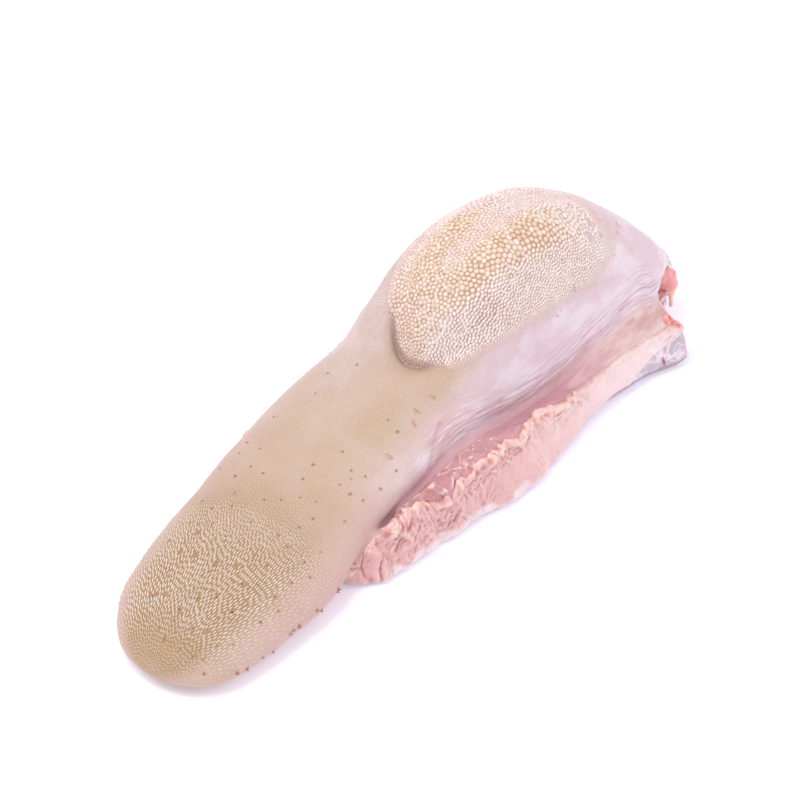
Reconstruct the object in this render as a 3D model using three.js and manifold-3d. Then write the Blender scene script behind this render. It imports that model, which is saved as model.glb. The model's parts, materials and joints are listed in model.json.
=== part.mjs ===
// A whole raw beef tongue, lying dorsal side up on its own root.
//
// Units are millimetres, +Z is up, -X is the tip and +X the cut root. The tongue is one piece
// of meat, so the model is one closed mesh. It is put together from a few lofted forms:
//   - the tongue itself: a broad flat blade that rises to a high rounded back with the dorsal
//     hump on it, and a crescent groove in front of that hump
//   - the root under its rear two thirds, which it rests on
//   - a lip of slack mouth-floor lining along each side of the root, with a furrow between the
//     lip and the flank, and a bunched front end
//   - ragged flaps and a pocket at the cut end
// The origin is the middle of the footprint.

import * as THREE from "three";
import { mergeVertices } from "three/addons/utils/BufferGeometryUtils.js";
import Module from "manifold-3d";

// ---------------------------------------------------------------- driving dimensions

const TIP_X = -191; // foremost point of the blade
const REAR_X = 194; // rear end of the body and the root before the slanting cut
const TIP_ROUNDING = 50; // length over which the blade thins to its tip
const SETTLE = 0.6; // how far the weight flattens the underside
const CUT_TOP = [188, 46]; // x and height of two points of the slanting cut
const CUT_FOOT = [173, 0];

const MESH_TOLERANCE = 0.15; // points that move the surface less than this are left out

// Height of the middle of the back above the table, without the dorsal hump.
const BACK_HEIGHT = profile([
  [-191, 17], [-165, 24], [-140, 28], [-105, 32], [-70, 38], [-35, 47], [-12, 53], [2, 56], [8, 60],
  [15, 67], [27, 79], [45, 91], [66, 97.5], [88, 99], [108, 96], [130, 88], [150, 76], [168, 61],
  [182, 47], [194, 34],
]);
// Height of the widest point of each section.
const EDGE_HEIGHT = profile([
  [-191, 9], [-140, 10], [-105, 12], [-70, 21], [-45, 28], [-15, 33], [35, 32], [80, 32],
  [120, 36], [150, 36], [194, 26],
]);
// Height of the underside of the blade and, hidden in the root, of the body.
const BELLY_HEIGHT = profile([
  [-191, 0], [-100, 0], [-80, 5], [-55, 13], [-25, 16], [40, 12], [150, 8], [194, 6],
]);
// Half of the width of each section, before the tip is rounded off.
const HALF_WIDTH = profile([
  [-135, 46], [-107, 46.4], [-80, 45.5], [-60, 44.5], [-30, 44.5], [0, 43], [25, 43],
  [60, 45], [110, 45], [150, 42], [180, 35], [194, 30],
]);
// The share of that width at a distance from the tip, against the root of the distance.
const TIP_OUTLINE = profile([
  [0, 0], [1.2, 0.28], [2.45, 0.51], [3.6, 0.67], [5.4, 0.84], [7.4, 0.95], [9.3, 1],
]);
// The tongue bends a little to one side at its tip.
const MIDLINE_Y = profile([
  [-191, -18.5], [-160, -12.5], [-135, -9], [-107, -5.3], [-80, 0], [-60, 2.5], [-30, 3.5], [0, 4],
  [60, 4], [110, 3], [150, 1], [194, 1],
]);
// How square a section is: 2 is an ellipse. The near flank slopes, the far shoulder is fuller.
const NEAR_ROUNDNESS = profile([[-191, 2.3], [-60, 2.2], [0, 2.3], [80, 2.3], [194, 2.1]]);
const FAR_ROUNDNESS = profile([[-191, 2.3], [-60, 2.3], [0, 2.5], [35, 3.0], [65, 3.0], [110, 2.6], [194, 2.2]]);
const BELLY_ROUNDNESS = profile([[-191, 2.4], [-90, 2.3], [0, 3.0], [194, 3.0]]);

// The dorsal hump is an egg-shaped swelling, blunt towards the tip.
const HUMP = { x: 70, y: 0, front: 60, rear: 78, side: 33, height: 5.5 };
// The crescent groove lies just outside its front end.
const GROOVE = { depth: 5.5, place: 1.04, width: 0.1 };

// The root, as half width and height from its blunt front end to the cut.
const ROOT_FRONT = -84;
const ROOT_REAR = 194;
const ROOT_HALF_WIDTH = profile([[-84, 24], [-50, 34], [0, 38], [80, 40], [140, 40], [168, 34], [194, 28]]);
const ROOT_HEIGHT = profile([[-84, 12], [-40, 20], [20, 26], [120, 28], [194, 26]]);

// ---------------------------------------------------------------- small helpers

/** A smooth function through [position, value] knots, flat beyond both ends. */
function profile(knots) {
  const slopes = knots.map(([x, v], i) => {
    if (i === 0 || i === knots.length - 1) return 0;
    const before = (v - knots[i - 1][1]) / (x - knots[i - 1][0]);
    const after = (knots[i + 1][1] - v) / (knots[i + 1][0] - x);
    return before * after <= 0 ? 0 : (2 * before * after) / (before + after);
  });
  return (x) => {
    const last = knots.length - 1;
    if (x <= knots[0][0]) return knots[0][1];
    if (x >= knots[last][0]) return knots[last][1];
    const i = knots.findIndex((knot) => knot[0] > x) - 1;
    const span = knots[i + 1][0] - knots[i][0];
    const t = (x - knots[i][0]) / span;
    const rise = knots[i + 1][1] - knots[i][1];
    const a = slopes[i] * span;
    const b = slopes[i + 1] * span;
    return knots[i][1] + t * (a + t * (3 * rise - 2 * a - b + t * (a + b - 2 * rise)));
  };
}

const smoothstep = (low, high, v) => THREE.MathUtils.smoothstep(v, low, high);
const signedPower = (v, power) => Math.sign(v) * Math.abs(v) ** power;

/** A closed mesh through rings of points, closed at both ends by one point each. */
function loft(rings, firstPole, lastPole) {
  const around = rings[0].length;
  const points = [firstPole, ...rings.flat(), lastPole];
  const at = (ring, i) => 1 + ring * around + (i % around);
  const faces = [];
  for (let i = 0; i < around; i++) {
    faces.push(0, at(0, i), at(0, i + 1));
    for (let ring = 0; ring + 1 < rings.length; ring++) {
      faces.push(at(ring, i), at(ring + 1, i + 1), at(ring, i + 1));
      faces.push(at(ring, i), at(ring + 1, i), at(ring + 1, i + 1));
    }
    faces.push(at(rings.length - 1, i + 1), at(rings.length - 1, i), points.length - 1);
  }
  const geometry = new THREE.BufferGeometry().setFromPoints(points);
  geometry.setIndex(faces);
  return geometry;
}

const wasm = await Module();
wasm.setup();

/** A closed geometry as a solid that can be joined and cut. */
function toSolid(geometry) {
  const merged = mergeVertices(geometry, 1e-4);
  const solid = new wasm.Manifold(
    new wasm.Mesh({
      numProp: 3,
      vertProperties: new Float32Array(merged.attributes.position.array),
      triVerts: new Uint32Array(merged.index.array),
    }),
  );
  if (solid.volume() < 0) throw new Error("a loft is inside out");
  return solid;
}

/** A joined solid as a geometry again. */
function toGeometry(solid) {
  const mesh = solid.getMesh();
  const positions = new Float32Array(mesh.numVert * 3);
  for (let i = 0; i < mesh.numVert; i++) {
    const from = i * mesh.numProp;
    positions.set(mesh.vertProperties.subarray(from, from + 3), i * 3);
  }
  return new THREE.BufferGeometry()
    .setAttribute("position", new THREE.BufferAttribute(positions, 3))
    .setIndex(new THREE.BufferAttribute(new Uint32Array(mesh.triVerts), 1));
}

// ---------------------------------------------------------------- the tongue itself

const BACK_SEGMENTS = 40;
const BELLY_SEGMENTS = 8;
// [from, to, pitch] of the sections: close together at the tip, the groove and the cut end.
const BODY_PITCH = [
  [-190.6, -183, 1.6], [-183, -150, 4], [-150, -12, 7], [-12, 34, 2.2], [34, 62, 4], [62, 140, 7],
  [140, 194, 4.5],
];

/** The positions of sections given as runs of even pitch. */
function stations(runs) {
  const positions = runs.flatMap(([from, to, pitch]) => {
    const count = Math.ceil((to - from) / pitch);
    return Array.from({ length: count }, (_, i) => from + ((to - from) * i) / count);
  });
  return [...positions, runs[runs.length - 1][1]];
}

/** What the hump and the groove in front of it add to the height of the back at x, y. */
function backRelief(x, y) {
  const along = (HUMP.x - x) / (x < HUMP.x ? HUMP.front : HUMP.rear);
  const across = (y - HUMP.y) / HUMP.side;
  const r = Math.hypot(along, across);
  const fromFront = Math.abs(Math.atan2(across, along));
  const start = THREE.MathUtils.lerp(0.76, 0.15, smoothstep(0.5, 1.9, fromFront));
  const swell = HUMP.height * (1 - smoothstep(start, 1.0, r));
  const reach = 1 - (y > HUMP.y ? smoothstep(0.25, 0.75, fromFront) : smoothstep(0.45, 1.1, fromFront));
  const groove = GROOVE.depth * reach * Math.exp(-(((r - GROOVE.place) / GROOVE.width) ** 2));
  return swell - groove;
}

/** One closed section of the tongue at x, as a ring from the near edge over the back. */
function bodySection(x, shrink) {
  const edge = EDGE_HEIGHT(x);
  const rise = (BACK_HEIGHT(x) - edge) * shrink.height;
  const drop = (edge - BELLY_HEIGHT(x)) * shrink.height;
  const half = HALF_WIDTH(x) * shrink.width;
  const ring = [];
  for (let i = 0; i < BACK_SEGMENTS + BELLY_SEGMENTS; i++) {
    const onBack = i < BACK_SEGMENTS;
    const turn = onBack
      ? (Math.PI * i) / BACK_SEGMENTS
      : Math.PI * (1 + (i - BACK_SEGMENTS) / BELLY_SEGMENTS);
    const back = i < BACK_SEGMENTS / 2 ? NEAR_ROUNDNESS(x) : FAR_ROUNDNESS(x);
    const power = 2 / (onBack ? back : BELLY_ROUNDNESS(x));
    const y = MIDLINE_Y(x) - half * signedPower(Math.cos(turn), power);
    const z = edge + (onBack ? rise : drop) * signedPower(Math.sin(turn), power);
    const relief = onBack ? backRelief(x, y) * Math.sin(turn) ** 0.5 : 0;
    ring.push(new THREE.Vector3(x, y, z + relief));
  }
  return ring;
}

function tongueBody() {
  const rings = stations(BODY_PITCH).map((x) => {
    const fromTip = Math.min(1, (x - TIP_X) / TIP_ROUNDING);
    return bodySection(x, {
      width: TIP_OUTLINE(Math.sqrt(x - TIP_X)),
      height: (1 - (1 - fromTip) ** 3.4) ** 0.5,
    });
  });
  const pole = (x) => new THREE.Vector3(x, MIDLINE_Y(x), EDGE_HEIGHT(x));
  return loft(rings, pole(TIP_X), pole(REAR_X));
}

// ---------------------------------------------------------------- the root under it

const ROOT_STATIONS = 22;
const ROOT_SEGMENTS = 24;

function root() {
  const rings = [];
  for (let i = 0; i <= ROOT_STATIONS; i++) {
    const t = i / ROOT_STATIONS;
    const x = ROOT_FRONT + (ROOT_REAR - ROOT_FRONT) * t;
    const blunt = Math.sin(Math.min(1, 0.3 + t * 6) * (Math.PI / 2));
    const ring = [];
    for (let k = 0; k < ROOT_SEGMENTS; k++) {
      const turn = (2 * Math.PI * k) / ROOT_SEGMENTS;
      const y = -ROOT_HALF_WIDTH(x) * blunt * signedPower(Math.cos(turn), 0.6);
      const z = (ROOT_HEIGHT(x) / 2) * (1 + signedPower(Math.sin(turn), 0.6));
      ring.push(new THREE.Vector3(x, y, z));
    }
    rings.push(ring);
  }
  const end = (x) => new THREE.Vector3(x, 0, ROOT_HEIGHT(x) / 2);
  return loft(rings, end(ROOT_FRONT), end(ROOT_REAR));
}

// ---------------------------------------------------------------- the slack lining at its sides

/** Folds of a slack sheet along x: round ridges with creases between them, about -1 to 1. */
function folds(x, phase) {
  const wide = Math.abs(Math.sin(0.105 * x + phase + 0.8 * Math.sin(0.047 * x + 2 * phase)));
  const narrow = Math.abs(Math.sin(0.26 * x + 3 * phase + 0.9 * Math.sin(0.083 * x + phase)));
  return 1.5 * wide + 0.8 * narrow - 1.4;
}

/** The lip along one side: side is -1 for the near one and +1 for the far one. */
function liningLip(side, form) {
  const rings = [];
  for (let i = 0; i <= form.stations; i++) {
    const t = i / form.stations;
    const x = form.front + (form.rear - form.front) * t;
    const front = Math.sqrt(1 - (1 - Math.min(1, (x - form.front + 1.5) / 20)) ** 2);
    const rear = Math.sqrt(1 - (1 - Math.min(1, (form.rear - x + 2) / 7)) ** 2);
    const slack = form.slack(x);
    const inner = form.inner(x);
    const furrow = form.furrow(x);
    const furrowY = form.furrowY(x);
    const crest = form.crest(x);
    const crestY = form.crestY(x);
    const rimY = form.rimY(x);
    const rimZ = form.rimZ(x);
    // [distance from the midline, height, share of the folds], from inside the root over the
    // crest to the table
    const outline = [
      [inner, 0, 0],
      [inner, furrow - 4, 0],
      [furrowY - 2, furrow, 0],
      [furrowY + 2, furrow - 0.5, 0.25],
      [(furrowY + crestY) / 2 + 1, (furrow + crest) / 2 - 0.5, 0.6],
      [crestY - 2, crest - 0.3, 1],
      [crestY + 1.5, crest - 1, 1],
      [crestY + 3.5, crest - 5, 0.8],
      [(crestY + rimY) / 2 + 1.5, (crest + rimZ) / 2, 0.5],
      [rimY - 1, rimZ + 3, 0.7],
      [rimY, rimZ, 0.7],
      [rimY - 2, Math.max(0, rimZ - 4), 0.4],
      [rimY - 8, 0, 0],
    ];
    const curve = new THREE.CatmullRomCurve3(
      outline.map(([d, z, share], k) => {
        // The folds slant backwards from the furrow to the rim.
        const fold = folds(x - 1.1 * (d - furrowY) - 0.25 * z, form.phase) * slack * share;
        const lift = k < 8 ? 2.6 : 0.3;
        return new THREE.Vector3(0, d + (k < 6 ? 0.4 : 1.9) * fold, z + lift * fold);
      }),
      true,
      "centripetal",
    );
    const ring = curve.getPoints(form.segments).slice(0, form.segments).map((p) => {
      const d = inner + (p.y - inner) * front * (0.45 + 0.55 * rear);
      return new THREE.Vector3(x, side * d, Math.max(0, p.z * (0.3 + 0.7 * front) * (0.55 + 0.45 * rear)));
    });
    rings.push(side < 0 ? ring.reverse() : ring);
  }
  const pole = (ring) =>
    ring.reduce((sum, p) => sum.add(p), new THREE.Vector3()).divideScalar(ring.length);
  return loft(rings, pole(rings[0]), pole(rings[rings.length - 1]));
}

const NEAR_LIP = {
  front: -97,
  rear: 160,
  stations: 84,
  segments: 20,
  phase: 0.6,
  inner: profile([[-97, 1], [160, 1]]),
  furrow: profile([[-97, 10], [-60, 18], [-20, 29], [0, 31], [40, 27], [65, 27], [98, 33], [135, 39], [160, 32]]),
  furrowY: profile([[-97, 30], [-60, 38], [-20, 41], [70, 42], [135, 41], [160, 38]]),
  crest: profile([[-97, 13], [-60, 24], [-20, 30], [30, 31], [60, 27], [100, 23], [160, 22]]),
  crestY: profile([[-97, 40], [-60, 48], [-20, 51], [40, 53], [110, 50], [140, 53], [160, 56]]),
  rimY: profile([[-97, 42], [-72, 55], [-50, 57], [-12, 61], [18, 66], [40, 64], [59, 60], [97, 55], [124, 57], [153, 64], [160, 63]]),
  rimZ: profile([[-97, 3], [0, 5], [160, 6]]),
  slack: profile([[-97, 1], [40, 1], [75, 0.35], [110, 0.2], [160, 0.5]]),
};
const FAR_LIP = {
  ...NEAR_LIP,
  front: -88,
  rear: 163,
  stations: 70,
  segments: 16,
  phase: 2.3,
  furrow: profile([[-97, 10], [-60, 18], [-20, 28], [20, 29], [65, 26], [98, 30], [135, 35], [160, 30]]),
  furrowY: profile([[-97, 30], [-60, 40], [-20, 44], [30, 47], [70, 48], [135, 45], [160, 40]]),
  crest: profile([[-97, 12], [-60, 20], [-20, 26], [30, 29], [60, 27], [100, 23], [160, 22]]),
  crestY: profile([[-97, 38], [-60, 46], [-20, 49], [20, 53], [60, 55], [110, 54], [160, 55]]),
  rimY: profile([[-97, 40], [-70, 49], [-20, 52], [20, 57], [60, 61], [100, 60], [160, 63]]),
};

// ---------------------------------------------------------------- the cut end

/** A tapering lobe along a curve: each stop is [x, y, z, half thickness, half height]. */
function lobe(stops, around) {
  const curve = new THREE.CatmullRomCurve3(stops.map(([x, y, z]) => new THREE.Vector3(x, y, z)));
  const steps = (stops.length - 1) * 4;
  const place = (i) => Math.min(stops.length - 2, Math.floor(i / 4));
  const rings = [];
  for (let i = 0; i <= steps; i++) {
    const k = place(i);
    const share = i / 4 - k;
    const thick = THREE.MathUtils.lerp(stops[k][3], stops[k + 1][3], share);
    const tall = THREE.MathUtils.lerp(stops[k][4], stops[k + 1][4], share);
    const centre = curve.getPoint(i / steps);
    const ahead = curve.getTangent(i / steps);
    const sideways = new THREE.Vector3(0, 1, 0).addScaledVector(ahead, -ahead.y).normalize();
    const upwards = new THREE.Vector3().crossVectors(ahead, sideways);
    rings.push(
      Array.from({ length: around }, (_, n) => {
        const turn = (2 * Math.PI * n) / around;
        return centre
          .clone()
          .addScaledVector(sideways, thick * Math.cos(turn))
          .addScaledVector(upwards, -tall * Math.sin(turn));
      }),
    );
  }
  return loft(rings, curve.getPoint(0), curve.getPoint(1));
}

// The torn muscle that hangs behind the pocket at the near corner.
const HANGING_FLAP = [
  [166, -18, 33, 7, 9], [175, -25, 32, 7, 8], [180.5, -29.5, 26, 5.5, 6.5],
  [182.5, -32, 18, 4, 5], [181.5, -34, 10, 1.8, 2.2],
];
const POCKET = { at: [172, -40, 26], radii: [11, 12, 13] };

/** The slanting cut as a plane: what lies on its far side from the tip is cut away. */
function cutPlane() {
  const length = Math.hypot(CUT_TOP[0] - CUT_FOOT[0], CUT_TOP[1] - CUT_FOOT[1]);
  const normal = [(CUT_FOOT[1] - CUT_TOP[1]) / length, 0, (CUT_TOP[0] - CUT_FOOT[0]) / length];
  return { normal, offset: normal[0] * CUT_FOOT[0] + normal[2] * CUT_FOOT[1] };
}

/** An ellipsoid as a solid. */
function ellipsoid({ at, radii }) {
  return wasm.Manifold.sphere(1, 28).scale(radii).translate(at);
}

// ---------------------------------------------------------------- assembly

const cut = cutPlane();
const whole = [root(), liningLip(-1, NEAR_LIP), liningLip(1, FAR_LIP)]
  .reduce((sum, geometry) => sum.add(toSolid(geometry)), toSolid(tongueBody()))
  .trimByPlane(cut.normal, cut.offset)
  .trimByPlane([0, 0, 1], SETTLE)
  .subtract(ellipsoid(POCKET))
  .add(toSolid(lobe(HANGING_FLAP, 12)))
  .simplify(MESH_TOLERANCE)
  // Small hollows sealed in between the joined forms are left out.
  .decompose()
  .reduce((largest, body) => (body.volume() > largest.volume() ? body : largest));

// The origin is the middle of the footprint.
const geometry = toGeometry(whole);
geometry.computeBoundingBox();
const centre = geometry.boundingBox.getCenter(new THREE.Vector3());
geometry.translate(-centre.x, -centre.y, -geometry.boundingBox.min.z);

const mesh = new THREE.Mesh(
  geometry,
  new THREE.MeshStandardMaterial({ color: 0xdcc0b0, roughness: 0.55, metalness: 0 }),
);
mesh.name = "tongue";

const beefTongue = new THREE.Group();
beefTongue.add(mesh);
export default beefTongue;
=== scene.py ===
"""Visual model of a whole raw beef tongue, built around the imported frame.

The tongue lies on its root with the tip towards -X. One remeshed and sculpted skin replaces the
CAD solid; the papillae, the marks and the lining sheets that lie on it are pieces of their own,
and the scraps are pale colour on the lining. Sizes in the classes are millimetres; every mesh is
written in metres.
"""

import json
import logging
import math
from collections.abc import Callable, Sequence
from dataclasses import dataclass, field, fields
from enum import Enum

import bpy
import numpy as np
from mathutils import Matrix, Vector
from mathutils.bvhtree import BVHTree
from mathutils.kdtree import KDTree

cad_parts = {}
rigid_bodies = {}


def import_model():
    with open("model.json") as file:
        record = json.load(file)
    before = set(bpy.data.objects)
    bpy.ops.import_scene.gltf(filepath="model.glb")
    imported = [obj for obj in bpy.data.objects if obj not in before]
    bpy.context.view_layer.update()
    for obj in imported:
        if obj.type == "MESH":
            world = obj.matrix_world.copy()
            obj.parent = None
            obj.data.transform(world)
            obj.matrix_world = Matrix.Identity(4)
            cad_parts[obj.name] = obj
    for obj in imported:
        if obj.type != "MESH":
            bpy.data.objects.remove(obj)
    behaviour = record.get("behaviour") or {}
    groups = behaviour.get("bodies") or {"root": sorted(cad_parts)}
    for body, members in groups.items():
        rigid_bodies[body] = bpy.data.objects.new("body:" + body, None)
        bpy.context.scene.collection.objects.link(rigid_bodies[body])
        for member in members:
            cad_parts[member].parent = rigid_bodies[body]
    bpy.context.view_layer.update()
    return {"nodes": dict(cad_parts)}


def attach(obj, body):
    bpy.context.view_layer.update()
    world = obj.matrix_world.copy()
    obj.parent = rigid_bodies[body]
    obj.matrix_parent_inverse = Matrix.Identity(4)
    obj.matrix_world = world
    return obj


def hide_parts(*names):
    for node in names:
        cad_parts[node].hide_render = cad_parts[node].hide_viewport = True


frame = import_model()

LOG = logging.getLogger("beef_tongue")
MM = 0.001
NODE = "tongue"
BODY = "root"
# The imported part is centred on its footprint; the section curves are as the part was drawn.
DRAWN_ORIGIN = np.array([1.7, 1.7, -0.6])

Array = np.ndarray
Triple = tuple[float, float, float]


# ------------------------------------------------------------------ numbers


def hex_colour(code: str) -> tuple[float, float, float, float]:
    """A colour written as six hexadecimal digits, as linear red, green, blue and alpha."""
    parts = [int(code[i : i + 2], 16) / 255 for i in (0, 2, 4)]
    linear = [c / 12.92 if c <= 0.04045 else ((c + 0.055) / 1.055) ** 2.4 for c in parts]
    return (linear[0], linear[1], linear[2], 1.0)


def smoothstep(low: float | Array, high: float | Array, value: Array) -> Array:
    """Goes smoothly from 0 at low to 1 at high."""
    t = np.clip((value - low) / (high - low), 0, 1)
    return t * t * (3 - 2 * t)


def lattice_noise(points: Array, seed: int) -> Array:
    """Smooth noise between about -1 and 1, with features about one unit across.

    Args:
        points: places, one row each.
        seed: a different pattern for each number.

    Returns:
        One value per row.
    """
    cell = np.floor(points).astype(np.int64)
    part = points - cell
    ease = part**3 * (part * (part * 6 - 15) + 10)
    total = np.zeros(len(points))
    for corner in range(8):
        step = np.array([corner & 1, corner >> 1 & 1, corner >> 2 & 1])
        key = (cell + step) @ np.array([73856093, 19349663, 83492791]) + seed * 2654435761
        key = (key ^ (key >> 15)) * 2246822519 & 0xFFFFFFFF
        key = (key ^ (key >> 13)) * 3266489917 & 0xFFFFFFFF
        value = ((key ^ (key >> 16)) & 0xFFFF) / 32767.5 - 1
        total += value * np.prod(np.where(step == 1, ease, 1 - ease), axis=1)
    return total


def stretched_noise(points: Array, sizes: Sequence[float], seed: int) -> Array:
    """Noise with features of the given sizes along X, Y and Z, in millimetres."""
    return lattice_noise(points / np.array(sizes), seed)


def thin_ridges(points: Array, sizes: Sequence[float], seed: int) -> Array:
    """Winding ridges, 1 on their sharp tops and 0 in the round valleys between them."""
    return np.clip(1 - 1.9 * np.abs(stretched_noise(points, sizes, seed)), 0, 1) ** 1.8


@dataclass(frozen=True)
class Curve:
    """A value along the tongue, given at a few places and smooth between them."""

    knots: tuple[tuple[float, float], ...]

    def at(self, x: Array) -> Array:
        """The value at each x."""
        xs = np.array([k[0] for k in self.knots])
        vs = np.array([k[1] for k in self.knots])
        spans = np.diff(xs)
        rates = np.diff(vs) / spans
        slopes = np.zeros(len(xs))
        same = rates[:-1] * rates[1:] > 0
        total = np.where(same, rates[:-1] + rates[1:], 1)
        slopes[1:-1] = np.where(same, 2 * rates[:-1] * rates[1:] / total, 0)
        i = np.clip(np.searchsorted(xs, x, side="right") - 1, 0, len(xs) - 2)
        t = np.clip((x - xs[i]) / spans[i], 0, 1)
        a, b, rise = slopes[i] * spans[i], slopes[i + 1] * spans[i], vs[i + 1] - vs[i]
        return vs[i] + t * (a + t * (3 * rise - 2 * a - b + t * (a + b - 2 * rise)))


# ------------------------------------------------------------------ anatomy


@dataclass(frozen=True)
class Hump:
    """The egg-shaped dorsal hump and the crescent groove before it."""

    x: float = 70
    y: float = 0
    front: float = 60
    rear: float = 78
    side: float = 33
    groove_place: float = 1.04

    def radius(self, x: Array, y: Array) -> tuple[Array, Array]:
        """Distance from the middle as a share of the outline, and the angle from the front."""
        along = (self.x - x) / np.where(x < self.x, self.front, self.rear)
        across = (y - self.y) / self.side
        return np.hypot(along, across), np.arctan2(across, along)


@dataclass(frozen=True)
class Anatomy:
    """The sections of the tongue as drawn, to tell which surface a point belongs to."""

    tip_x: float = -191
    back: Curve = Curve((
        (-191, 17), (-165, 24), (-140, 28), (-105, 32), (-70, 38), (-35, 47), (-12, 53), (2, 56),
        (8, 60), (15, 67), (27, 79), (45, 91), (66, 97.5), (88, 99), (108, 96), (130, 88),
        (150, 76), (168, 61), (182, 47), (194, 34),
    ))
    edge: Curve = Curve((
        (-191, 9), (-140, 10), (-105, 12), (-70, 21), (-45, 28), (-15, 33), (35, 32), (80, 32),
        (120, 36), (150, 36), (194, 26),
    ))
    belly: Curve = Curve((
        (-191, 0), (-100, 0), (-80, 5), (-55, 13), (-25, 16), (40, 12), (150, 8), (194, 6),
    ))
    half_width: Curve = Curve((
        (-135, 46), (-107, 46.4), (-80, 45.5), (-60, 44.5), (-30, 44.5), (0, 43), (25, 43),
        (60, 45), (110, 45), (150, 42), (180, 35), (194, 30),
    ))
    tip_outline: Curve = Curve((
        (0, 0), (1.2, 0.28), (2.45, 0.51), (3.6, 0.67), (5.4, 0.84), (7.4, 0.95), (9.3, 1),
    ))
    midline: Curve = Curve((
        (-191, -18.5), (-160, -12.5), (-135, -9), (-107, -5.3), (-80, 0), (-60, 2.5), (-30, 3.5),
        (0, 4), (60, 4), (110, 3), (150, 1), (194, 1),
    ))
    hump: Hump = Hump()

    def width(self, x: Array) -> Array:
        """Half of the tongue's width at each x."""
        share = self.tip_outline.at(np.sqrt(np.maximum(x - self.tip_x, 0)))
        return self.half_width.at(x) * np.maximum(share, 0.05)

    def turn(self, p: Array) -> Array:
        """Degrees round the section: 0 at the near edge, 90 on the back, 180 at the far edge."""
        x, y, z = p.T
        return np.degrees(np.arctan2(z - self.edge.at(x), -(y - self.midline.at(x))))

    def across(self, p: Array) -> Array:
        """Place across the width, from -1 at the near edge to 1 at the far edge."""
        return (p[:, 1] - self.midline.at(p[:, 0])) / self.width(p[:, 0])

    def outside(self, p: Array) -> Array:
        """How far each point lies outside the tongue's own section, in millimetres.

        Args:
            p: points in drawn coordinates.

        Returns:
            A distance that is about 0 on the tongue's own skin and positive on the lining.
        """
        x, y, z = p.T
        edge = self.edge.at(x)
        over = z > edge
        tall = np.where(over, self.back.at(x) + 3 - edge, edge - self.belly.at(x))
        power = np.where(over, 2.4, 2.8)
        u = np.abs(y - self.midline.at(x)) / self.width(x)
        w = np.abs(z - edge) / np.maximum(tall, 4)
        return ((u**power + w**power) ** (1 / power) - 1) * self.width(x)


ANATOMY = Anatomy()


# ------------------------------------------------------------------ mesh tools


def activate_none() -> None:
    """Deselects everything, so that an operator acts on the new shape alone."""
    for other in bpy.context.view_layer.objects:
        other.select_set(False)


def activate(obj: bpy.types.Object) -> None:
    """Makes obj the only selected object and the active one."""
    activate_none()
    obj.select_set(True)
    bpy.context.view_layer.objects.active = obj


def apply_modifier(obj: bpy.types.Object, kind: str, **settings: object) -> None:
    """Adds a modifier, sets it up and applies it."""
    activate(obj)
    modifier = obj.modifiers.new(kind.lower(), kind)
    for name, value in settings.items():
        setattr(modifier, name, value)
    bpy.ops.object.modifier_apply(modifier=modifier.name)


def read_points(mesh: bpy.types.Mesh) -> Array:
    """The vertices of a mesh in millimetres."""
    flat = np.empty(len(mesh.vertices) * 3, np.float32)
    mesh.vertices.foreach_get("co", flat)
    return flat.reshape(-1, 3).astype(np.float64) / MM


def write_points(mesh: bpy.types.Mesh, points: Array) -> None:
    """Moves the vertices of a mesh to these places in millimetres."""
    mesh.vertices.foreach_set("co", (points * MM).astype(np.float32).ravel())
    mesh.update()


def read_normals(mesh: bpy.types.Mesh) -> Array:
    """The vertex normals of a mesh."""
    flat = np.empty(len(mesh.vertices) * 3, np.float32)
    mesh.vertex_normals.foreach_get("vector", flat)
    return flat.reshape(-1, 3).astype(np.float64)


def kd_tree(points: Array) -> KDTree:
    """A search tree over points in space."""
    tree = KDTree(len(points))
    for i, point in enumerate(points):
        tree.insert(point, i)
    tree.balance()
    return tree


def neighbours(points: Array, count: int) -> Array:
    """The numbers of the nearest other points, count of them for each point."""
    tree = kd_tree(points)
    return np.array([[hit[1] for hit in tree.find_n(point, count + 1)][1:] for point in points])


def write_attribute(mesh: bpy.types.Mesh, name: str, values: Array) -> None:
    """Stores one number per vertex for a material to read."""
    attribute = mesh.attributes.new(name, "FLOAT", "POINT")
    attribute.data.foreach_set("value", values.astype(np.float32))


def vertex_group(obj: bpy.types.Object, name: str, weights: Array) -> str:
    """Adds a vertex group with these weights, in steps of a twentieth."""
    group = obj.vertex_groups.new(name=name)
    steps = np.round(np.clip(weights, 0, 1) * 20).astype(int)
    for step in range(1, 21):
        chosen = np.nonzero(steps == step)[0]
        if len(chosen):
            group.add(chosen.tolist(), step / 20, "REPLACE")
    return name


def new_piece(name: str, points: Array, faces: Sequence[Sequence[int]]) -> bpy.types.Object:
    """A smooth-shaded mesh object at the origin from points in millimetres."""
    mesh = bpy.data.meshes.new(name)
    mesh.from_pydata((points * MM).tolist(), [], faces)
    mesh.update()
    mesh.polygons.foreach_set("use_smooth", [True] * len(mesh.polygons))
    obj = bpy.data.objects.new(name, mesh)
    bpy.context.collection.objects.link(obj)
    return obj


def report(obj: bpy.types.Object, material: bpy.types.Material, replaces: bool = False) -> None:
    """Dresses a finished piece, ties it to the body and logs it.

    Args:
        obj: the finished piece.
        material: its finish.
        replaces: whether it stands for the CAD solid.
    """
    obj.data.materials.clear()
    obj.data.materials.append(material)
    if replaces:
        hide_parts(NODE)
    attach(obj, BODY)
    LOG.info("%s: %d faces", obj.name, len(obj.data.polygons))


# ------------------------------------------------------------------ the skin


class Zone(Enum):
    """What the skin's material reads, each stored as an attribute from 0 to 1 or in millimetres."""

    TAN = "tan"
    OLIVE = "olive"
    COBBLE = "cobble"
    LINING = "lining"
    GUTTER = "gutter"
    FASCIA = "fascia"
    MEAT = "meat"
    RIND = "rind"
    RELIEF = "relief"
    STRIAE = "striae"
    STRAND = "strand"
    DUSK = "dusk"
    # Painted shade of the hump's groove and of a patch on the hump's near side.
    FLAP = "flap"
    HOLE = "hole"
    EDGE = "edge"
    SWELL = "swell"
    FAT = "fat"
    NECK = "neck"
    # Painted shade on the near side of the neck.
    RAW = "raw"


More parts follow.
